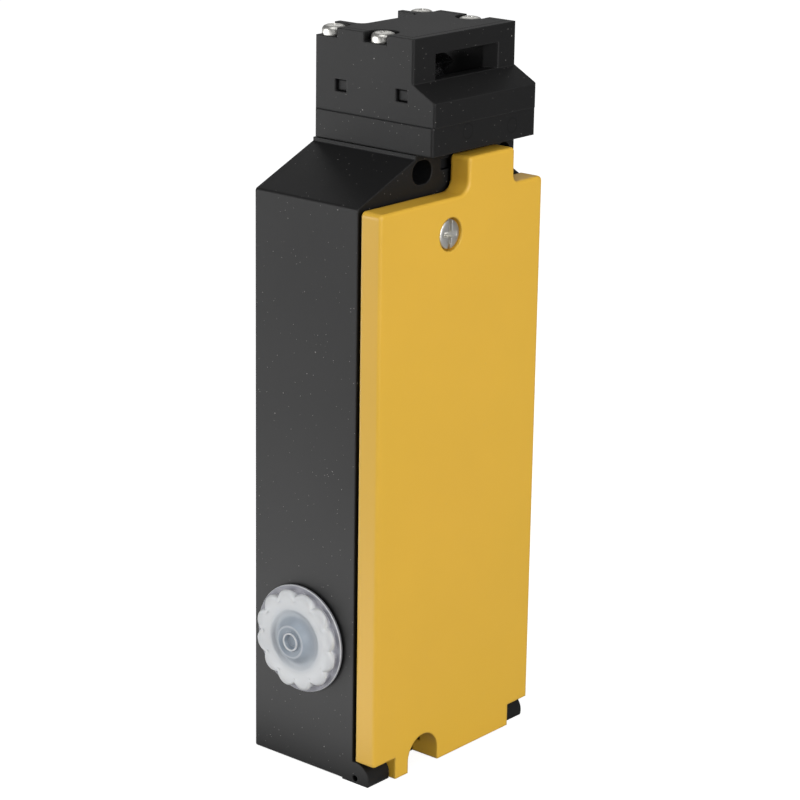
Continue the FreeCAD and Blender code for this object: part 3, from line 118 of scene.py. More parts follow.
class Graph:
    """The node tree of one material or world."""

    def __init__(self, tree: bpy.types.NodeTree) -> None:
        """Start with an empty tree."""
        self.tree = tree
        tree.nodes.clear()

    def node(self, kind: str, settings: Dict[str, object],
             inputs: Dict[Union[str, int], object]) -> bpy.types.Node:
        """Add a node.

        Args:
            kind: The node's type name.
            settings: Properties to set first; "stops" gives a ramp's positions and colours.
            inputs: Values or wires, by socket name or number.

        Returns:
            The new node.
        """
        made = self.tree.nodes.new(kind)
        for key, value in settings.items():
            if key == "stops":
                ramp = made.color_ramp
                while len(ramp.elements) < len(value):
                    ramp.elements.new(1.0)
                for element, (position, colour) in zip(ramp.elements, value):
                    element.position = position
                    element.color = (*colour, 1.0)
            else:
                setattr(made, key, value)
        for key, value in inputs.items():
            socket = made.inputs[key]
            if isinstance(value, Wire):
                self.tree.links.new(value.socket, socket)
            elif isinstance(value, tuple) and socket.type == "RGBA" and len(value) == 3:
                socket.default_value = (*value, 1.0)
            else:
                socket.default_value = value
        return made

    def add(self, kind: str, settings: Dict[str, object],
            inputs: Dict[Union[str, int], object], output: Union[str, int] = 0) -> Wire:
        """Add a node and return one of its outputs as a wire."""
        return Wire(self, self.node(kind, settings, inputs).outputs[output])

    def place(self) -> Wire:
        """The object's own coordinates, in metres."""
        return self.add("ShaderNodeTexCoord", {}, {}, "Object")

    def stretched(self, scale: Tuple[float, float, float],
                  turn: Tuple[float, float, float] = (0.0, 0.0, 0.0)) -> Wire:
        """Object coordinates scaled and turned for a grain that runs one way."""
        return self.add("ShaderNodeMapping", {}, {"Vector": self.place(), "Scale": scale,
                                                  "Rotation": turn})

    def noise(self, scale: float, detail: float = 2.0, rough: float = 0.5,
              vector: Optional[Wire] = None) -> Wire:
        """A noise field between 0 and 1."""
        return self.add("ShaderNodeTexNoise", {}, {"Vector": vector or self.place(),
                                                   "Scale": scale, "Detail": detail,
                                                   "Roughness": rough}, "Fac")

    def mix(self, amount: Value, low: object, high: object) -> Wire:
        """Blend two colours."""
        return self.add("ShaderNodeMix", {"data_type": "RGBA"}, {0: amount, 6: low, 7: high}, 2)

    def ramp(self, value: Wire, start: float, end: float) -> Wire:
        """A smooth step from 0 at start to 1 at end."""
        return self.add("ShaderNodeMapRange", {"interpolation_type": "SMOOTHSTEP"},
                        {"Value": value, "From Min": start, "From Max": end})

    def round_normal(self, radius: float) -> Wire:
        """Normals that roll over sharp edges, as moulded or tumbled ones do."""
        return self.add("ShaderNodeBevel", {"samples": 6}, {"Radius": radius})

    def edges(self, rounded: Wire) -> Wire:
        """A mask that is 1 along edges, from how far the rounded normal leans."""
        true = self.add("ShaderNodeNewGeometry", {}, {}, "Normal")
        lean = self.add("ShaderNodeVectorMath", {"operation": "DOT_PRODUCT"},
                        {0: rounded, 1: true}, "Value")
        return ((1.0 - lean) * 6.0).clamped()

    def axis(self, name: str) -> Wire:
        """One object coordinate."""
        return self.add("ShaderNodeSeparateXYZ", {}, {"Vector": self.place()}, name)

    def bump(self, height: Wire, distance: float, rounded: Wire, strength: float = 1.0) -> Wire:
        """Surface relief of a real depth in metres."""
        return self.add("ShaderNodeBump", {}, {"Height": height, "Distance": distance,
                                               "Strength": strength, "Normal": rounded})

    def surface(self, **sockets: object) -> None:
        """Add the Principled shader and the output; underscores stand for blanks."""
        named = {key.replace("_", " "): value for key, value in sockets.items()}
        shader = self.node("ShaderNodeBsdfPrincipled", {}, named)
        out = self.tree.nodes.new("ShaderNodeOutputMaterial")
        self.tree.links.new(shader.outputs[0], out.inputs["Surface"])


def blank(name: str) -> Tuple[bpy.types.Material, Graph]:
    """A new material and its empty graph."""
    material = bpy.data.materials.new(name)
    material.use_nodes = True
    return material, Graph(material.node_tree)


def tinted(colour: Colour, factor: float) -> Colour:
    """A colour made lighter or darker."""
    return tuple(min(1.0, part * factor) for part in colour)


# ---- finishes ------------------------------------------------------------------------------
@dataclass(frozen=True)
class MouldedPlastic:
    """Injection-moulded plastic: spark-eroded grain, flow mottling, soft edges, fine dust; edges
    painted lighter, partly as wear and partly as painted highlight.
    """

    name: str
    colour: Colour
    roughness: float
    grain: float
    depth: float
    mottle: float
    # edge_light: how much lighter the edges are painted, partly as wear and partly as painted
    # highlight.
    edge_light: float
    edge_radius: float
    dust: float = 0.0
    specular: float = 0.5
    cloud: Colour = (1.0, 1.0, 1.0)
    pin_marks: Tuple[Tuple[float, float], ...] = ()
    pin_radius: float = 1.7
    front_face: float = -16.3

    def marks(self, graph: Graph) -> Value:
        """Faint rings that ejector pins leave in the front face, by X and Z in millimetres."""
        total: Value = 0.0
        for x, z in self.pin_marks:
            across, up = graph.axis("X") - x * MM, graph.axis("Z") - z * MM
            off = (across * across + up * up).root() - self.pin_radius * MM
            total = (1.0 - graph.ramp(off * off * 1e6, 0.005, 0.03)) + total
        return total * (graph.axis("Y") < self.front_face * MM) if self.pin_marks else total

    @staticmethod
    def specks(graph: Graph, scale: float, size: float) -> Wire:
        """Grains of dust scattered over the surface."""
        near = graph.add("ShaderNodeTexVoronoi", {}, {"Vector": graph.place(), "Scale": scale},
                         "Distance")
        return near < size

    def build(self) -> bpy.types.Material:
        """Make the material.

        Returns:
            The finished material.
        """
        material, graph = blank(self.name)
        rounded = graph.round_normal(self.edge_radius)
        flow = graph.noise(38.0, 4.0, 0.55)
        cloud = graph.noise(11.0, 2.0)
        grain = graph.noise(1.0 / self.grain, 3.0, 0.6)
        pits = graph.noise(0.37 / self.grain, 2.0)
        scratch = graph.noise(1.0, 2.0, 0.6, graph.stretched((2200.0, 2200.0, 60.0),
                                                             (0.3, 0.5, 0.2)))
        tone = graph.mix((flow - 0.5) * self.mottle + 0.5, tinted(self.colour, 0.86),
                         tinted(self.colour, 1.14))
        other = tuple(a * b for a, b in zip(self.colour, self.cloud))
        tone = graph.mix(graph.ramp(cloud, 0.35, 0.65) * 0.6, tone, other)
        # Lighter edges: partly wear, partly a painted highlight where light catches the rounded
        # edges.
        edge_wear_and_highlight = graph.edges(rounded) * (flow * 0.6 + 0.5)
        lighter = tuple(min(1.0, part * 1.35 + 0.03) for part in self.colour)
        tone = graph.mix((edge_wear_and_highlight * self.edge_light).clamped(), tone, lighter)
        tone = graph.mix(self.marks(graph), tone, tinted(self.colour, 0.3))
        rare = graph.noise(90.0, 1.0) > 0.56
        often = graph.ramp(graph.noise(140.0, 2.0), 0.36, 0.56)
        specks = self.specks(graph, 330.0, 0.05) * rare + self.specks(graph, 780.0, 0.07) * often
        tone = graph.mix((specks * self.dust).clamped(), tone, (0.30, 0.29, 0.28))
        shine = (flow - 0.5) * 0.10 + (grain - 0.5) * 0.12 + self.roughness
        shine = (shine - (scratch > 0.74) * 0.05).clamped()
        relief = graph.bump(grain * 0.7 + pits * 0.3, self.depth, rounded, 0.7)
        graph.surface(Base_Color=tone, Roughness=shine, Normal=relief,
                      Specular_IOR_Level=self.specular)
        return material


@dataclass(frozen=True)
class MilkyPolyethylene:
    """Natural polyethylene: milky, thin at the rim; painted shade stands for the dark wall behind
    showing through, and painted highlights mark rims and edges.
    """

    name: str
    colour: Colour
    # thin and floor are painted shade colours: thin for the flange and its side wall, floor for
    # the dish and the boss.
    thin: Colour
    floor: Colour
    axis_y: float
    axis_z: float
    flange_x: float
    dish_edge: Tuple[float, float] = (4.8 * MM, 8.9 * MM)
    boss_edge: Tuple[float, float] = (3.2 * MM, 4.4 * MM)
    rim_edge: Tuple[float, float] = (12.66 * MM, 12.78 * MM)
    lobe_edge: Tuple[float, float] = (9.5 * MM, 12.0 * MM)
    nub_ring: float = 2.0
    boss_ring: float = 3.75

    @staticmethod
    def ring(graph: Graph, reach: Wire, radius: float) -> Wire:
        """A thin ring round the axis, 1 at its radius in millimetres."""
        off = reach - radius * MM
        return 1.0 - graph.ramp(off * off * 1e6, 0.02, 0.07)

    def build(self) -> bpy.types.Material:
        """Make the material.

        Returns:
            The finished material.
        """
        material, graph = blank(self.name)
        rounded = graph.round_normal(0.25 * MM)
        across = graph.axis("Y") - self.axis_y
        up = graph.axis("Z") - self.axis_z
        reach = (across * across + up * up).root()
        haze = graph.noise(160.0, 3.0, 0.6)
        wisp = graph.noise(420.0, 2.0)
        # Painted shade on the flange, standing for the dark wall seen through it and the shadow at
        # the knob's foot.
        depth = graph.ramp(graph.axis("X"), self.flange_x - 1.0 * MM, self.flange_x - 0.2 * MM)
        # Painted shade in the dish and a darker painted shade on the boss, standing for the dark
        # seen through the thin plastic.
        deep = 1.0 - graph.ramp(reach, *self.dish_edge)
        inner = 1.0 - graph.ramp(reach, *self.boss_edge)
        rim = graph.ramp(reach, *self.rim_edge)
        # Painted shade: the lobes turn greyer towards their outer edge, as light through thin
        # milky plastic would look.
        lobe = graph.ramp(reach, *self.lobe_edge) * 0.3
        high = 1.0 - graph.ramp(graph.axis("X"), self.flange_x - 3.1 * MM,
                                self.flange_x - 2.7 * MM)
        # Painted highlights on the rims of the hollow nub and the boss.
        painted_rim_highlights = (self.ring(graph, reach, self.nub_ring) * 0.7
                 + self.ring(graph, reach, self.boss_ring) * 0.3)
        shank = graph.ramp(graph.axis("X"), self.flange_x + 1.05 * MM, self.flange_x + 1.2 * MM)
        # Painted shade on the flange's side wall, darker still, so the flange reads as thin
        # see-through plastic.
        wall = graph.ramp(graph.axis("X"), self.flange_x + 0.1 * MM, self.flange_x + 0.2 * MM)
        wall = wall * (1.0 - shank)
        tone = graph.mix(haze * 0.35, self.colour, tinted(self.colour, 1.1))
        tone = graph.mix(lobe, tone, tinted(self.colour, 0.42))
        tone = graph.mix(deep * (1.0 - shank) * (haze * 0.3 + 0.7), tone, self.floor)
        tone = graph.mix(inner * 0.6, tone, tinted(self.floor, 0.85))
        tone = graph.mix((painted_rim_highlights * high * (haze + 0.5)).clamped(), tone, (0.78, 0.79, 0.80))
        tone = graph.mix(depth * (1.0 - rim) * (1.0 - shank) * 0.92, tone, self.thin)
        tone = graph.mix(wall * 0.9, tone, tinted(self.thin, 0.45))
        # Painted highlights along the rounded edges, left off the flange's side wall.
        painted_edge_highlight = graph.edges(rounded) * (1.0 - wall)
        tone = graph.mix((painted_edge_highlight * 0.6).clamped(), tone, (0.74, 0.75, 0.76))
        relief = graph.bump(haze * 0.6 + wisp * 0.4, 0.02 * MM, rounded, 0.6)
        graph.surface(Base_Color=tone, Roughness=(haze * 0.14 + 0.34), Normal=relief,
                      Subsurface_Weight=0.18, Subsurface_Radius=(0.002, 0.0022, 0.0026),
                      Subsurface_Scale=0.6, Specular_IOR_Level=0.42)
        return material


@dataclass(frozen=True)
class Metal:
    """Bare or plated metal with fine working marks and edges painted brighter as highlights."""

    name: str
    colour: Colour
    roughness: float
    stretch: Tuple[float, float, float]
    stain: float
    edge_radius: float = 0.00012

    def build(self) -> bpy.types.Material:
        """Make the material.

        Returns:
            The finished material.
        """
        material, graph = blank(self.name)
        rounded = graph.round_normal(self.edge_radius)
        marks = graph.noise(1.0, 4.0, 0.6, graph.stretched(self.stretch))
        patch = graph.noise(260.0, 3.0, 0.55)
        tone = graph.mix(patch * self.stain, self.colour, tinted(self.colour, 0.62))
        # Painted highlight: the edges are brighter in colour.
        tone = graph.mix((graph.edges(rounded) * 0.5).clamped(), tone, tinted(self.colour, 1.25))
        shine = ((marks - 0.5) * 0.22 + (patch - 0.5) * 0.16 + self.roughness).clamped()
        relief = graph.bump(marks, 0.006 * MM, rounded, 0.6)
        graph.surface(Base_Color=tone, Roughness=shine, Metallic=1.0, Normal=relief)
        return material


@dataclass(frozen=True)
class Winding:
    """Enamelled copper wire wound in close turns round the X axis, with painted shade in the
    grooves between turns.
    """

    name: str
    colour: Colour
    wire: float

    def build(self) -> bpy.types.Material:
        """Make the material.

        Returns:
            The finished material.
        """
        material, graph = blank(self.name)
        rounded = graph.round_normal(0.1 * MM)
        turns = graph.add("ShaderNodeTexWave", {"wave_type": "BANDS", "bands_direction": "X"},
                          {"Vector": graph.place(), "Scale": 0.32 / self.wire,
                           "Distortion": 0.6, "Detail": 2.0}, "Fac")
        patch = graph.noise(300.0, 3.0)
        # Painted shade: the colour darkens in the grooves between the turns.
        tone = graph.mix(turns, tinted(self.colour, 0.45), self.colour)
        graph.surface(Base_Color=tone, Roughness=patch * 0.2 + 0.24, Metallic=0.85,
                      Normal=graph.bump(turns, self.wire * 0.4, rounded))
        return material


class Finish(Enum):
    """Every finish, under the name of the record's material slot."""

    black_plastic = MouldedPlastic(
        "black_plastic_moulded", (0.0072, 0.0072, 0.0075), roughness=0.50, grain=0.00022,
        depth=0.00002, mottle=0.9, edge_light=0.55, edge_radius=0.0005, dust=0.9, specular=0.27,
        cloud=(1.12, 1.10, 1.05), pin_marks=((3.0, 148.8), (18.9, 147.9)))
    yellow_plastic = MouldedPlastic(
        "yellow_plastic_moulded", (0.770, 0.452, 0.046), roughness=0.36, grain=0.0005,
        depth=0.000006, mottle=0.35, edge_light=0.5, edge_radius=0.00075, dust=0.10,
        specular=0.45, cloud=(0.95, 0.985, 0.86))
    # thin and floor are painted shade colours for the cap's flange and dish.
    cap_plastic = MilkyPolyethylene(
        "milky_polyethylene", (0.72, 0.735, 0.75), thin=(0.26, 0.26, 0.30),
        floor=(0.27, 0.32, 0.38), axis_y=3.8 * MM, axis_z=31.7 * MM, flange_x=-29.55 * MM)
    seal_rubber = MouldedPlastic(
        "black_rubber", (0.022, 0.022, 0.022), roughness=0.72, grain=0.0003, depth=0.00003,
        mottle=0.6, edge_light=0.2, edge_radius=0.0002)
    zinc_screw = Metal("zinc_plated_steel", (0.80, 0.79, 0.75), roughness=0.38,
                       stretch=(900.0, 900.0, 900.0), stain=0.35)
    steel = Metal("ground_steel", (0.56, 0.56, 0.57), roughness=0.34,
                  stretch=(2600.0, 400.0, 400.0), stain=0.4)
    cam_metal = Metal("tumbled_cast_metal", (0.34, 0.34, 0.345), roughness=0.26,
                      stretch=(1200.0, 1200.0, 1200.0), stain=0.5)
    spring_steel = Metal("spring_wire", (0.42, 0.42, 0.43), roughness=0.30,
                         stretch=(1600.0, 1600.0, 1600.0), stain=0.3)
    contact_brass = Metal("stamped_brass", (0.78, 0.58, 0.26), roughness=0.30,
                          stretch=(500.0, 3000.0, 500.0), stain=0.4)
    copper_winding = Winding("enamelled_copper", (0.62, 0.22, 0.08), wire=0.00028)
    white_plastic = MouldedPlastic(
        "white_plastic", (0.66, 0.66, 0.62), roughness=0.42, grain=0.0004, depth=0.00001,
        mottle=0.4, edge_light=0.3, edge_radius=0.0003)
    grey_plastic = MouldedPlastic(
        "grey_plastic", (0.15, 0.16, 0.175), roughness=0.48, grain=0.0003, depth=0.000015,
        mottle=0.5, edge_light=0.4, edge_radius=0.0003)

    @classmethod
    def shop(cls) -> Dict[str, bpy.types.Material]:
        """Build every finish once, by slot name."""
        return {finish.name: finish.value.build() for finish in cls}


# ---- modelling tools -----------------------------------------------------------------------
class Bench:
    """Edit-mode tools that shape one mesh at a time."""

    @staticmethod
    def clear() -> None:
        """Leave edit mode and deselect everything."""
        if bpy.context.object and bpy.context.object.mode != "OBJECT":
            bpy.ops.object.mode_set(mode="OBJECT")
        bpy.ops.object.select_all(action="DESELECT")

    @staticmethod
    def only(piece: bpy.types.Object) -> None:
        """Make one object the selected and active one."""
        Bench.clear()
        piece.select_set(True)
        bpy.context.view_layer.objects.active = piece

    @staticmethod
    def pick(piece: bpy.types.Object, chosen: Callable[[Vector], bool]) -> None:
        """Select, in edit mode, the vertices whose place is chosen.

        Args:
            piece: The object in edit mode.
            chosen: A test on a vertex's coordinates.
        """
        bpy.ops.mesh.select_all(action="DESELECT")
        bpy.ops.object.mode_set(mode="OBJECT")
        for vertex in piece.data.vertices:
            vertex.select = chosen(vertex.co)
        bpy.ops.object.mode_set(mode="EDIT")

    @staticmethod
    def turned(name: str, profile: Profile, segments: int) -> bpy.types.Object:
        """Turn a closed body about Z by extruding and resizing a disc along its profile.

        Args:
            name: The piece's name.
            profile: Radius and height pairs in millimetres, from the bottom's rim to the top.
            segments: How many sides each ring has.

        Returns:
            The new object, its axis on Z.
        """
        Bench.clear()
        radius, height = profile[0]
        bpy.ops.mesh.primitive_circle_add(vertices=segments, radius=radius * MM,
                                          fill_type="NGON", location=(0, 0, height * MM))
        piece = bpy.context.object
        piece.name = name
        bpy.ops.object.transform_apply(location=True, rotation=True, scale=True)
        bpy.ops.object.mode_set(mode="EDIT")
        bpy.ops.mesh.select_all(action="SELECT")
        for next_radius, next_height in profile[1:]:
            bpy.ops.mesh.extrude_region_move(
                TRANSFORM_OT_translate={"value": (0, 0, (next_height - height) * MM)})
            ratio = next_radius / radius
            bpy.ops.transform.resize(value=(ratio, ratio, 1.0), center_override=(0, 0, 0))
            radius, height = next_radius, next_height
        bpy.ops.mesh.select_all(action="SELECT")
        bpy.ops.mesh.normals_make_consistent(inside=False)
        bpy.ops.object.mode_set(mode="OBJECT")
        return piece

    @staticmethod
    def wedge(name: str, size: Tuple[float, float, float], top: float,
              taper: float) -> bpy.types.Object:
        """A tapered bar, wide at its top, for cutting a recess.

        Args:
            name: The piece's name.
            size: Length, width and depth in millimetres.
            top: The height of its top in millimetres.
            taper: The bottom's share of the top's length and width.

        Returns:
            The new object.
        """
        Bench.clear()
        bpy.ops.mesh.primitive_cube_add(size=1.0, location=(0, 0, (top - size[2] / 2) * MM))
        piece = bpy.context.object
        piece.name = name
        piece.scale = tuple(part * MM for part in size)
        bpy.ops.object.transform_apply(location=True, rotation=True, scale=True)
        bpy.ops.object.mode_set(mode="EDIT")
        floor = (top - size[2] / 2) * MM
        Bench.pick(piece, lambda at: at.z < floor)
        bpy.ops.transform.resize(value=(taper, taper, 1.0), center_override=(0, 0, 0))
        bpy.ops.object.mode_set(mode="OBJECT")
        return piece

    @staticmethod
    def cut(piece: bpy.types.Object, tool: bpy.types.Object) -> None:
        """Cut a tool out of a piece and throw the tool away."""
        Bench.only(piece)
        modifier = piece.modifiers.new("cut", "BOOLEAN")
        modifier.operation = "DIFFERENCE"
        modifier.solver = "EXACT"
        modifier.object = tool
        bpy.ops.object.modifier_apply(modifier="cut")
        bpy.data.objects.remove(tool)

    @staticmethod
    def rounded(piece: bpy.types.Object, width: float, angle: float = 35.0,
                segments: int = 2) -> None:
        """Round the sharp edges and shade the piece.

        Args:
            piece: The object.
            width: The bevel's width in millimetres.
            angle: Edges sharper than this many degrees are rounded.
            segments: Steps in each rounding.
        """
        Bench.only(piece)
        modifier = piece.modifiers.new("round", "BEVEL")
        modifier.width = width * MM
        modifier.segments = segments
        modifier.limit_method = "ANGLE"
        modifier.angle_limit = math.radians(angle)
        modifier.use_clamp_overlap = True
        bpy.ops.object.modifier_apply(modifier="round")
        bpy.ops.object.shade_smooth_by_angle(angle=math.radians(30.0))

    @staticmethod
    def put(piece: bpy.types.Object, place: Vector, turn: Matrix) -> None:
        """Stand a piece in its place and leave its origin at the world's.

        Args:
            piece: The object.
            place: Where its own origin goes, in metres.
            turn: How it is turned first.
        """
        Bench.only(piece)
        piece.matrix_world = Matrix.Translation(place) @ turn
        bpy.ops.object.transform_apply(location=True, rotation=True, scale=True)

    @staticmethod
    def copy(piece: bpy.types.Object, name: str) -> bpy.types.Object:
        """Copy a piece with a mesh of its own."""
        twin = piece.copy()
        twin.data = piece.data.copy()
        twin.name = name
        bpy.context.scene.collection.objects.link(twin)
        return twin

    @staticmethod
    def dress(piece: bpy.types.Object, material: bpy.types.Material) -> None:
        """Give a piece its one material."""
        piece.data.materials.clear()
        piece.data.materials.append(material)


OUT_LEFT = Matrix.Rotation(math.radians(-90.0), 4, "Y")
OUT_FRONT = Matrix.Rotation(math.radians(90.0), 4, "X")


def middle(node: str) -> Vector:
    """The centre of a node's box, in metres."""
    low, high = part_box(node)
    return (low + high) / 2


# ---- sub-assemblies ------------------------------------------------------------------------
@dataclass
class DustCap:
    """The threaded cap in the cable entry, with a scalloped knob and a dished face."""

    flange_radius: float = 12.85
    flange_bottom: float = 0.37
    flange_top: float = 1.12
    knob_radius: float = 12.1
    knob_top: float = 3.0
    ridge_radius: float = 7.5
    dish_floor: float = 2.0
    boss_radius: float = 3.9
    boss_top: float = 4.3
    nub_radius: float = 2.15
    lobes: int = 12
    valley: float = 0.12
    per_lobe: int = 14
    shank_radius: float = 9.85
    shank_length: float = 8.0

    def shank(self) -> Profile:
        """The turned outline from the shank's open end to the flange's edge."""
        return [(8.3, -self.shank_length + 0.4), (8.7, -self.shank_length),
                (self.shank_radius, -self.shank_length + 0.8), (self.shank_radius, 0.3),
                (self.shank_radius + 0.1, self.flange_bottom),
                (self.flange_radius - 0.15, self.flange_bottom),
                (self.flange_radius, self.flange_bottom + 0.12),
                (self.flange_radius, self.flange_top - 0.2),
                (self.flange_radius - 0.12, self.flange_top)]

    def knob(self) -> Profile:
        """The turned outline of the knob's side and rounded rim."""
        return [(self.knob_radius - 0.5, self.flange_top),
                (self.knob_radius - 0.42, self.flange_top + 0.35),
                (self.knob_radius - 0.1, self.flange_top + 0.8),
                (self.knob_radius, self.flange_top + 1.05),
                (self.knob_radius, self.knob_top - 0.75),
                (self.knob_radius - 0.12, self.knob_top - 0.38),
                (self.knob_radius - 0.38, self.knob_top - 0.12),
                (self.knob_radius - 0.8, self.knob_top),
                (self.knob_radius - 1.5, self.knob_top - 0.02)]

    def face(self) -> Profile:
        """The turned outline of the dished face with its boss and hollow nub."""
        return [(9.6, self.knob_top - 0.2), (8.5, self.knob_top - 0.42),
                (self.ridge_radius + 0.4, self.knob_top - 0.38),
                (self.ridge_radius, self.knob_top - 0.3),
                (self.ridge_radius - 0.3, self.knob_top - 0.42),
                (self.ridge_radius - 0.8, self.dish_floor + 0.15),
                (self.ridge_radius - 1.3, self.dish_floor), (5.5, self.dish_floor + 0.3),
                (4.7, self.dish_floor + 1.1), (self.boss_radius + 0.25, self.boss_top - 0.35),
                (self.boss_radius, self.boss_top - 0.08),
                (self.boss_radius - 0.25, self.boss_top),
                (self.boss_radius - 0.5, self.boss_top - 0.1),
                (self.boss_radius - 1.0, self.boss_top - 0.42),
                (self.nub_radius + 0.3, self.boss_top - 0.5),
                (self.nub_radius + 0.08, self.boss_top - 0.3), (self.nub_radius, self.boss_top),
                (self.nub_radius - 0.3, self.boss_top),
                (self.nub_radius - 0.5, self.boss_top - 0.5),
                (self.nub_radius - 0.9, self.boss_top - 1.0), (0.1, self.boss_top - 1.1)]

    def dip(self, cap: bpy.types.Object, radius: float, height: float, step: int) -> None:
        """Draw one ring's vertices in towards the axis, deepest at the valleys and the top.

        Args:
            cap: The cap in edit mode.
            radius: The ring's radius in millimetres.
            height: The ring's height in millimetres.
            step: The place within each lobe, 0 in the valley.
        """
        rise = (height - self.flange_top) / (self.knob_top - self.flange_top)
        depth = (1.0 - math.sin(math.pi * step / self.per_lobe)) ** 1.2 * self.valley
        share = 1.0 - depth * min(1.0, rise * 2.5)

        def chosen(at: Vector) -> bool:
            """Whether a vertex lies on this ring at this place of its lobe."""
            count = round(math.atan2(at.y, at.x) * self.lobes * self.per_lobe / (2 * math.pi))
            return (abs(at.z - height * MM) < 0.005 * MM and count % self.per_lobe == step
                    and abs(math.hypot(at.x, at.y) - radius * MM) < 0.02 * MM)

        Bench.pick(cap, chosen)
        bpy.ops.transform.resize(value=(share, share, 1.0), center_override=(0, 0, 0))

    def build(self, shop: Dict[str, bpy.types.Material]) -> bpy.types.Object:
        """Model and dress the cap.

        Args:
            shop: The finishes by slot.

        Returns:
            The finished piece.
        """
        segments = self.lobes * self.per_lobe
        cap = Bench.turned("dust_cap_knob", [*self.shank(), *self.knob(), *self.face()], segments)
        Bench.only(cap)
        bpy.ops.object.mode_set(mode="EDIT")
        for radius, height in self.knob()[1:]:
            for step in range(self.per_lobe):
                self.dip(cap, radius, height, step)
        bpy.ops.object.mode_set(mode="OBJECT")
        Bench.only(cap)
        bpy.ops.object.shade_smooth_by_angle(angle=math.radians(40.0))
        centre = middle("dust_cap")
        Bench.put(cap, Vector((-28.5 * MM, centre.y, centre.z)), OUT_LEFT)
        Bench.dress(cap, shop["cap_plastic"])
        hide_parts("dust_cap")
        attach(cap, "cap")
        return cap


@dataclass
class CoverScrew:
    """The captive cover screw with its combined slot and cross."""

    head_radius: float = 3.45
    head_height: float = 2.26
    shank_radius: float = 1.95
    length: float = 14.7
    pitch: float = 0.7
    thread_depth: float = 0.32
    slot_width: float = 1.0
    slot_turn: float = 86.0

    def build(self, shop: Dict[str, bpy.types.Material]) -> bpy.types.Object:
        """Model and dress the screw.

        Args:
            shop: The finishes by slot.

        Returns:
            The finished piece.
        """
        profile = [(self.shank_radius - 0.5, -self.length), (self.shank_radius, 0.5 - self.length)]
        turn = 0.5 - self.length + 0.35
        root = self.shank_radius - self.thread_depth
        while turn < -self.length / 2:
            profile += [(self.shank_radius, turn), (root, turn + 0.3), (root, turn + 0.4)]
            turn += self.pitch
        profile += [(self.shank_radius, turn), (self.shank_radius, -self.head_height),
                    (self.head_radius, -self.head_height), (self.head_radius, -0.45),
                    (self.head_radius - 0.12, -0.16), (self.head_radius - 0.42, 0.0),
                    (self.head_radius * 0.6, 0.02), (0.1, 0.02)]
        screw = Bench.turned("captive_cover_screw", profile, 64)
        Bench.cut(screw, Bench.wedge("slot", (2 * self.head_radius + 1, self.slot_width, 1.8),
                                     0.6, 0.92))
        Bench.cut(screw, Bench.wedge("cross", (1.3, 5.0, 2.8), 0.6, 0.5))
        Bench.cut(screw, Bench.wedge("cross_x", (5.0, 1.3, 2.8), 0.6, 0.5))
        Bench.rounded(screw, 0.09, 40.0, 2)
        low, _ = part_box("cover_screw")
        centre = middle("cover_screw")
        turned = OUT_FRONT @ Matrix.Rotation(math.radians(self.slot_turn), 4, "Z")
        Bench.put(screw, Vector((centre.x, low.y, centre.z)), turned)
        Bench.dress(screw, shop["zinc_screw"])
        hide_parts("cover_screw")
        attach(screw, "captive_screw")
        return screw


@dataclass
class HingePins:
    """The two pins of the cover's hinge, sunk deep in their holes."""

    sunk: float = 1.7

    def build(self, shop: Dict[str, bpy.types.Material]) -> List[bpy.types.Object]:
        """Model and dress both pins.

        Args:
            shop: The finishes by slot.

        Returns:
            The two pins.
        """
        pins = []
        for side in ("left", "right"):
            node = "hinge_pin_" + side
            low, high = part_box(node)
            radius = (high.z - low.z) / 2 / MM
            length = (high.x - low.x) / MM - self.sunk
            pin = Bench.turned(node + "_sunk", [(radius - 0.2, -length), (radius, 0.2 - length),
                                                (radius, -0.2), (radius - 0.2, 0.0),
                                                (0.1, 0.0)], 32)
            Bench.rounded(pin, 0.05, 40.0, 1)
            centre = middle(node)
            if side == "left":
                place, turn = Vector((low.x + self.sunk * MM, centre.y, centre.z)), OUT_LEFT
            else:
                place = Vector((high.x - self.sunk * MM, centre.y, centre.z))
                turn = Matrix.Rotation(math.pi, 4, "Z") @ OUT_LEFT
            Bench.put(pin, place, turn)
            Bench.dress(pin, shop["steel"])
            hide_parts(node)
            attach(pin, "body")
            pins.append(pin)
        return pins


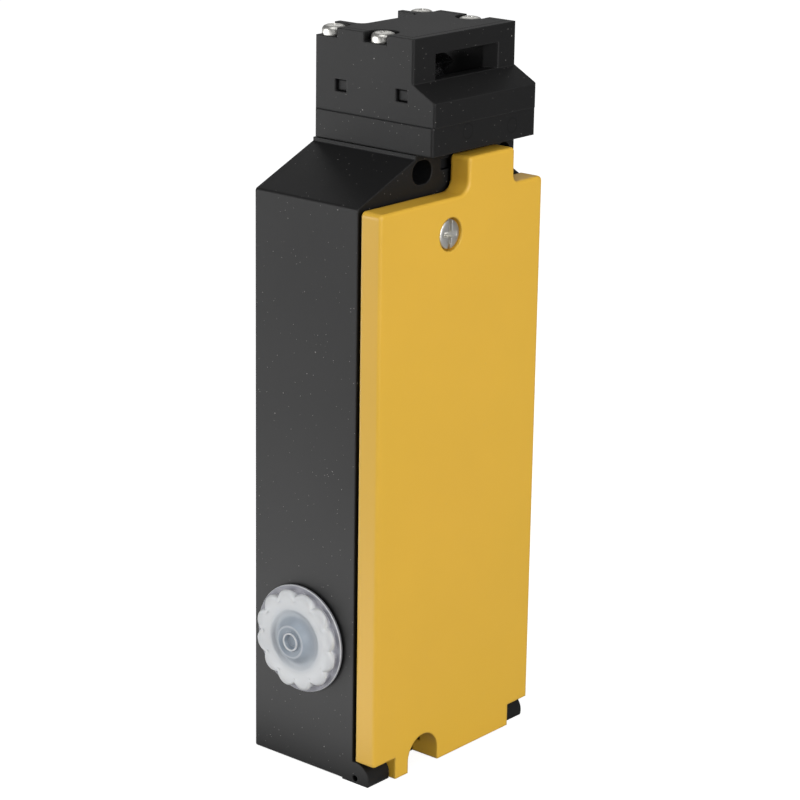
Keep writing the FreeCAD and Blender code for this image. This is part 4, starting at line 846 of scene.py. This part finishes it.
@dataclass
class HeadScrews:
    """The four pan-head screws in the head's corners."""

    head_radius: float = 2.83
    head_height: float = 2.3
    shank_radius: float = 1.48
    length: float = 20.0
    inset: float = 2.85
    turns: Tuple[float, ...] = (12.0, 40.0, 68.0, 25.0)

    def model(self) -> bpy.types.Object:
        """Make one screw, its head's underside at height zero."""
        crown = self.head_height
        profile = [(self.shank_radius - 0.4, -self.length),
                   (self.shank_radius, 0.5 - self.length), (self.shank_radius, 0.0),
                   (self.head_radius - 0.05, 0.0), (self.head_radius, 0.1),
                   (self.head_radius, crown - 1.15), (self.head_radius - 0.12, crown - 0.72),
                   (self.head_radius - 0.45, crown - 0.32), (self.head_radius - 1.0, crown - 0.08),
                   (self.head_radius - 1.6, crown), (0.1, crown)]
        screw = Bench.turned("head_screw", profile, 48)
        Bench.cut(screw, Bench.wedge("cross", (3.0, 0.72, 1.7), crown + 0.3, 0.35))
        Bench.cut(screw, Bench.wedge("cross_y", (0.72, 3.0, 1.7), crown + 0.3, 0.35))
        Bench.rounded(screw, 0.07, 40.0, 2)
        return screw

    def build(self, shop: Dict[str, bpy.types.Material]) -> List[bpy.types.Object]:
        """Model one screw and copy it to each corner.

        Args:
            shop: The finishes by slot.

        Returns:
            The four screws.
        """
        first = self.model()
        low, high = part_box("head_screws")
        seat = high.z - self.head_height * MM
        inset = self.inset * MM
        places = [(x, y) for x in (low.x + inset, high.x - inset)
                  for y in (low.y + inset, high.y - inset)]
        screws = []
        for number, (x, y) in enumerate(places):
            screw = Bench.copy(first, "head_screw_%d" % (number + 1))
            turn = Matrix.Rotation(math.radians(self.turns[number]), 4, "Z")
            Bench.put(screw, Vector((x, y, seat)), turn)
            Bench.dress(screw, shop["zinc_screw"])
            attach(screw, "head")
            screws.append(screw)
        bpy.data.objects.remove(first)
        for screw in screws:
            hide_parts("head_screws")
        return screws


@dataclass
class FrameParts:
    """The pieces whose shape the frame already gives, which only need their finishes."""

    finished: List[str] = field(default_factory=list)

    def build(self, shop: Dict[str, bpy.types.Material]) -> None:
        """Dress every node with the finish of its slot.

        Args:
            shop: The finishes by slot.
        """
        for part in frame["record"]["subparts"]:
            node = frame["nodes"][part["node"]]
            material = shop[part["material_slot"]]
            for slot in node.material_slots:
                slot.material = material
            self.finished.append(part["node"])


# ---- studio --------------------------------------------------------------------------------
@dataclass
class Studio:
    """The pale floor, soft lamps, white surroundings and camera."""

    azimuth: float = -49.876
    elevation: float = 17.036
    roll: float = 0.884
    target: Tuple[float, float, float] = (-21.760, -18.962, 92.319)
    distance: float = 598.853
    focal: float = 121.81
    ambient: float = 0.22
    backdrop: float = 0.78
    gloss_dimming: float = 0.05
    floor_grey: Colour = (0.45, 0.45, 0.45)
    floor_seen: float = 0.85
    near_glow: float = 3.3
    glow_fall: float = 2.3
    lamps: Tuple[Tuple[str, Tuple[float, float, float], float, float], ...] = (
        ("key", (-0.25, -1.1, 0.4), 0.9, 10.6),
        ("side", (-0.95, 0.8, 0.14), 0.9, 9.5),
        ("back", (0.85, 0.75, 1.05), 0.9, 1.7),
        ("top", (-0.45, -0.1, 1.35), 0.9, 3.5),
    )

    def camera(self) -> None:
        """Set the camera from its direction, distance and roll."""
        az, el = math.radians(self.azimuth), math.radians(self.elevation)
        back = Vector((math.sin(az) * math.cos(el), -math.cos(az) * math.cos(el), math.sin(el)))
        right = Vector((0, 0, 1)).cross(back).normalized()
        up = back.cross(right)
        c, s = math.cos(math.radians(self.roll)), math.sin(math.radians(self.roll))
        side, top = c * right + s * up, c * up - s * right
        data = bpy.data.cameras.new("camera")
        data.sensor_width = 36.0
        data.lens = self.focal
        data.clip_start, data.clip_end = 0.01, 50.0
        camera = bpy.data.objects.new("camera", data)
        turn = Matrix((side, top, back)).transposed().to_4x4()
        place = (Vector(self.target) + back * self.distance) * MM
        camera.matrix_world = Matrix.Translation(place) @ turn
        bpy.context.scene.collection.objects.link(camera)
        bpy.context.scene.camera = camera

    def lights(self) -> None:
        """Hang the soft lamps, each facing the middle of the switch."""
        aim = Vector((0, 0, 0.085))
        for name, place, size, power in self.lamps:
            data = bpy.data.lights.new(name, "AREA")
            data.shape = "DISK"
            data.size = size
            data.energy = power
            lamp = bpy.data.objects.new(name, data)
            way = Vector(place) - aim
            lamp.matrix_world = (Matrix.Translation(Vector(place))
                                 @ way.to_track_quat("Z", "Y").to_matrix().to_4x4())
            bpy.context.scene.collection.objects.link(lamp)

    def surroundings(self) -> None:
        """White for what the camera and glass see, and soft grey for light and reflections."""
        world = bpy.data.worlds.new("studio")
        bpy.context.scene.world = world
        world.use_nodes = True
        graph = Graph(world.node_tree)
        path = graph.node("ShaderNodeLightPath", {}, {})
        seen = Wire(graph, path.outputs["Is Camera Ray"])
        shine = Wire(graph, path.outputs["Is Glossy Ray"])
        through = Wire(graph, path.outputs["Is Transmission Ray"])
        white = (seen + through).clamped() * self.backdrop
        strength = white - shine * self.gloss_dimming + self.ambient
        background = graph.node("ShaderNodeBackground", {}, {"Color": (1.0, 1.0, 1.0),
                                                             "Strength": strength})
        out = world.node_tree.nodes.new("ShaderNodeOutputWorld")
        world.node_tree.links.new(background.outputs[0], out.inputs["Surface"])

    def floor(self) -> None:
        """Lay the pale floor, which keeps the shadow and looks white to the camera.

        To its left and back it also glows in reflections, most of all near the foot.
        """
        Bench.clear()
        bpy.ops.mesh.primitive_plane_add(size=8.0, location=(0, 0, -0.00005))
        ground = bpy.context.object
        ground.name = "floor"
        bpy.ops.object.transform_apply(location=True, rotation=True, scale=True)
        material, graph = blank("pale_floor")
        path = graph.node("ShaderNodeLightPath", {}, {})
        seen = Wire(graph, path.outputs["Is Camera Ray"])
        shine = Wire(graph, path.outputs["Is Glossy Ray"])
        left = 1.0 - graph.ramp(graph.axis("X"), -0.06, -0.02)
        back = graph.ramp(graph.axis("Y"), -0.06, 0.0)
        far = graph.ramp(graph.axis("X") * -1.0, 0.06, 0.25)
        diffuse = graph.node("ShaderNodeBsdfDiffuse", {}, {"Color": self.floor_grey})
        mirrored = shine * left * back * (self.near_glow - far * self.glow_fall)
        glow = graph.node("ShaderNodeEmission", {}, {
            "Color": (1.0, 1.0, 1.0), "Strength": seen * self.floor_seen + mirrored})
        both = graph.node("ShaderNodeAddShader", {}, {0: Wire(graph, diffuse.outputs[0]),
                                                      1: Wire(graph, glow.outputs[0])})
        out = material.node_tree.nodes.new("ShaderNodeOutputMaterial")
        material.node_tree.links.new(both.outputs[0], out.inputs["Surface"])
        Bench.dress(ground, material)

    def build(self) -> None:
        """Set up everything round the switch."""
        self.camera()
        self.lights()
        self.surroundings()
        self.floor()
        bpy.context.scene.view_settings.view_transform = "Standard"


def main() -> None:
    """Build the studio and every sub-assembly in order, and log the dressed parts and each made
    piece's faces.
    """
    logging.basicConfig(level=logging.INFO, format="%(name)s: %(message)s")
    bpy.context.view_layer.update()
    shop = Finish.shop()
    Studio().build()
    parts = FrameParts()
    parts.build(shop)
    LOG.info("dressed %d frame parts", len(parts.finished))
    cap = DustCap().build(shop)
    LOG.info("made %s with %d faces", cap.name, len(cap.data.polygons))
    screw = CoverScrew().build(shop)
    LOG.info("made %s with %d faces", screw.name, len(screw.data.polygons))
    for piece in [*HingePins().build(shop), *HeadScrews().build(shop)]:
        LOG.info("made %s with %d faces", piece.name, len(piece.data.polygons))


if __name__ == "__main__":
    main()
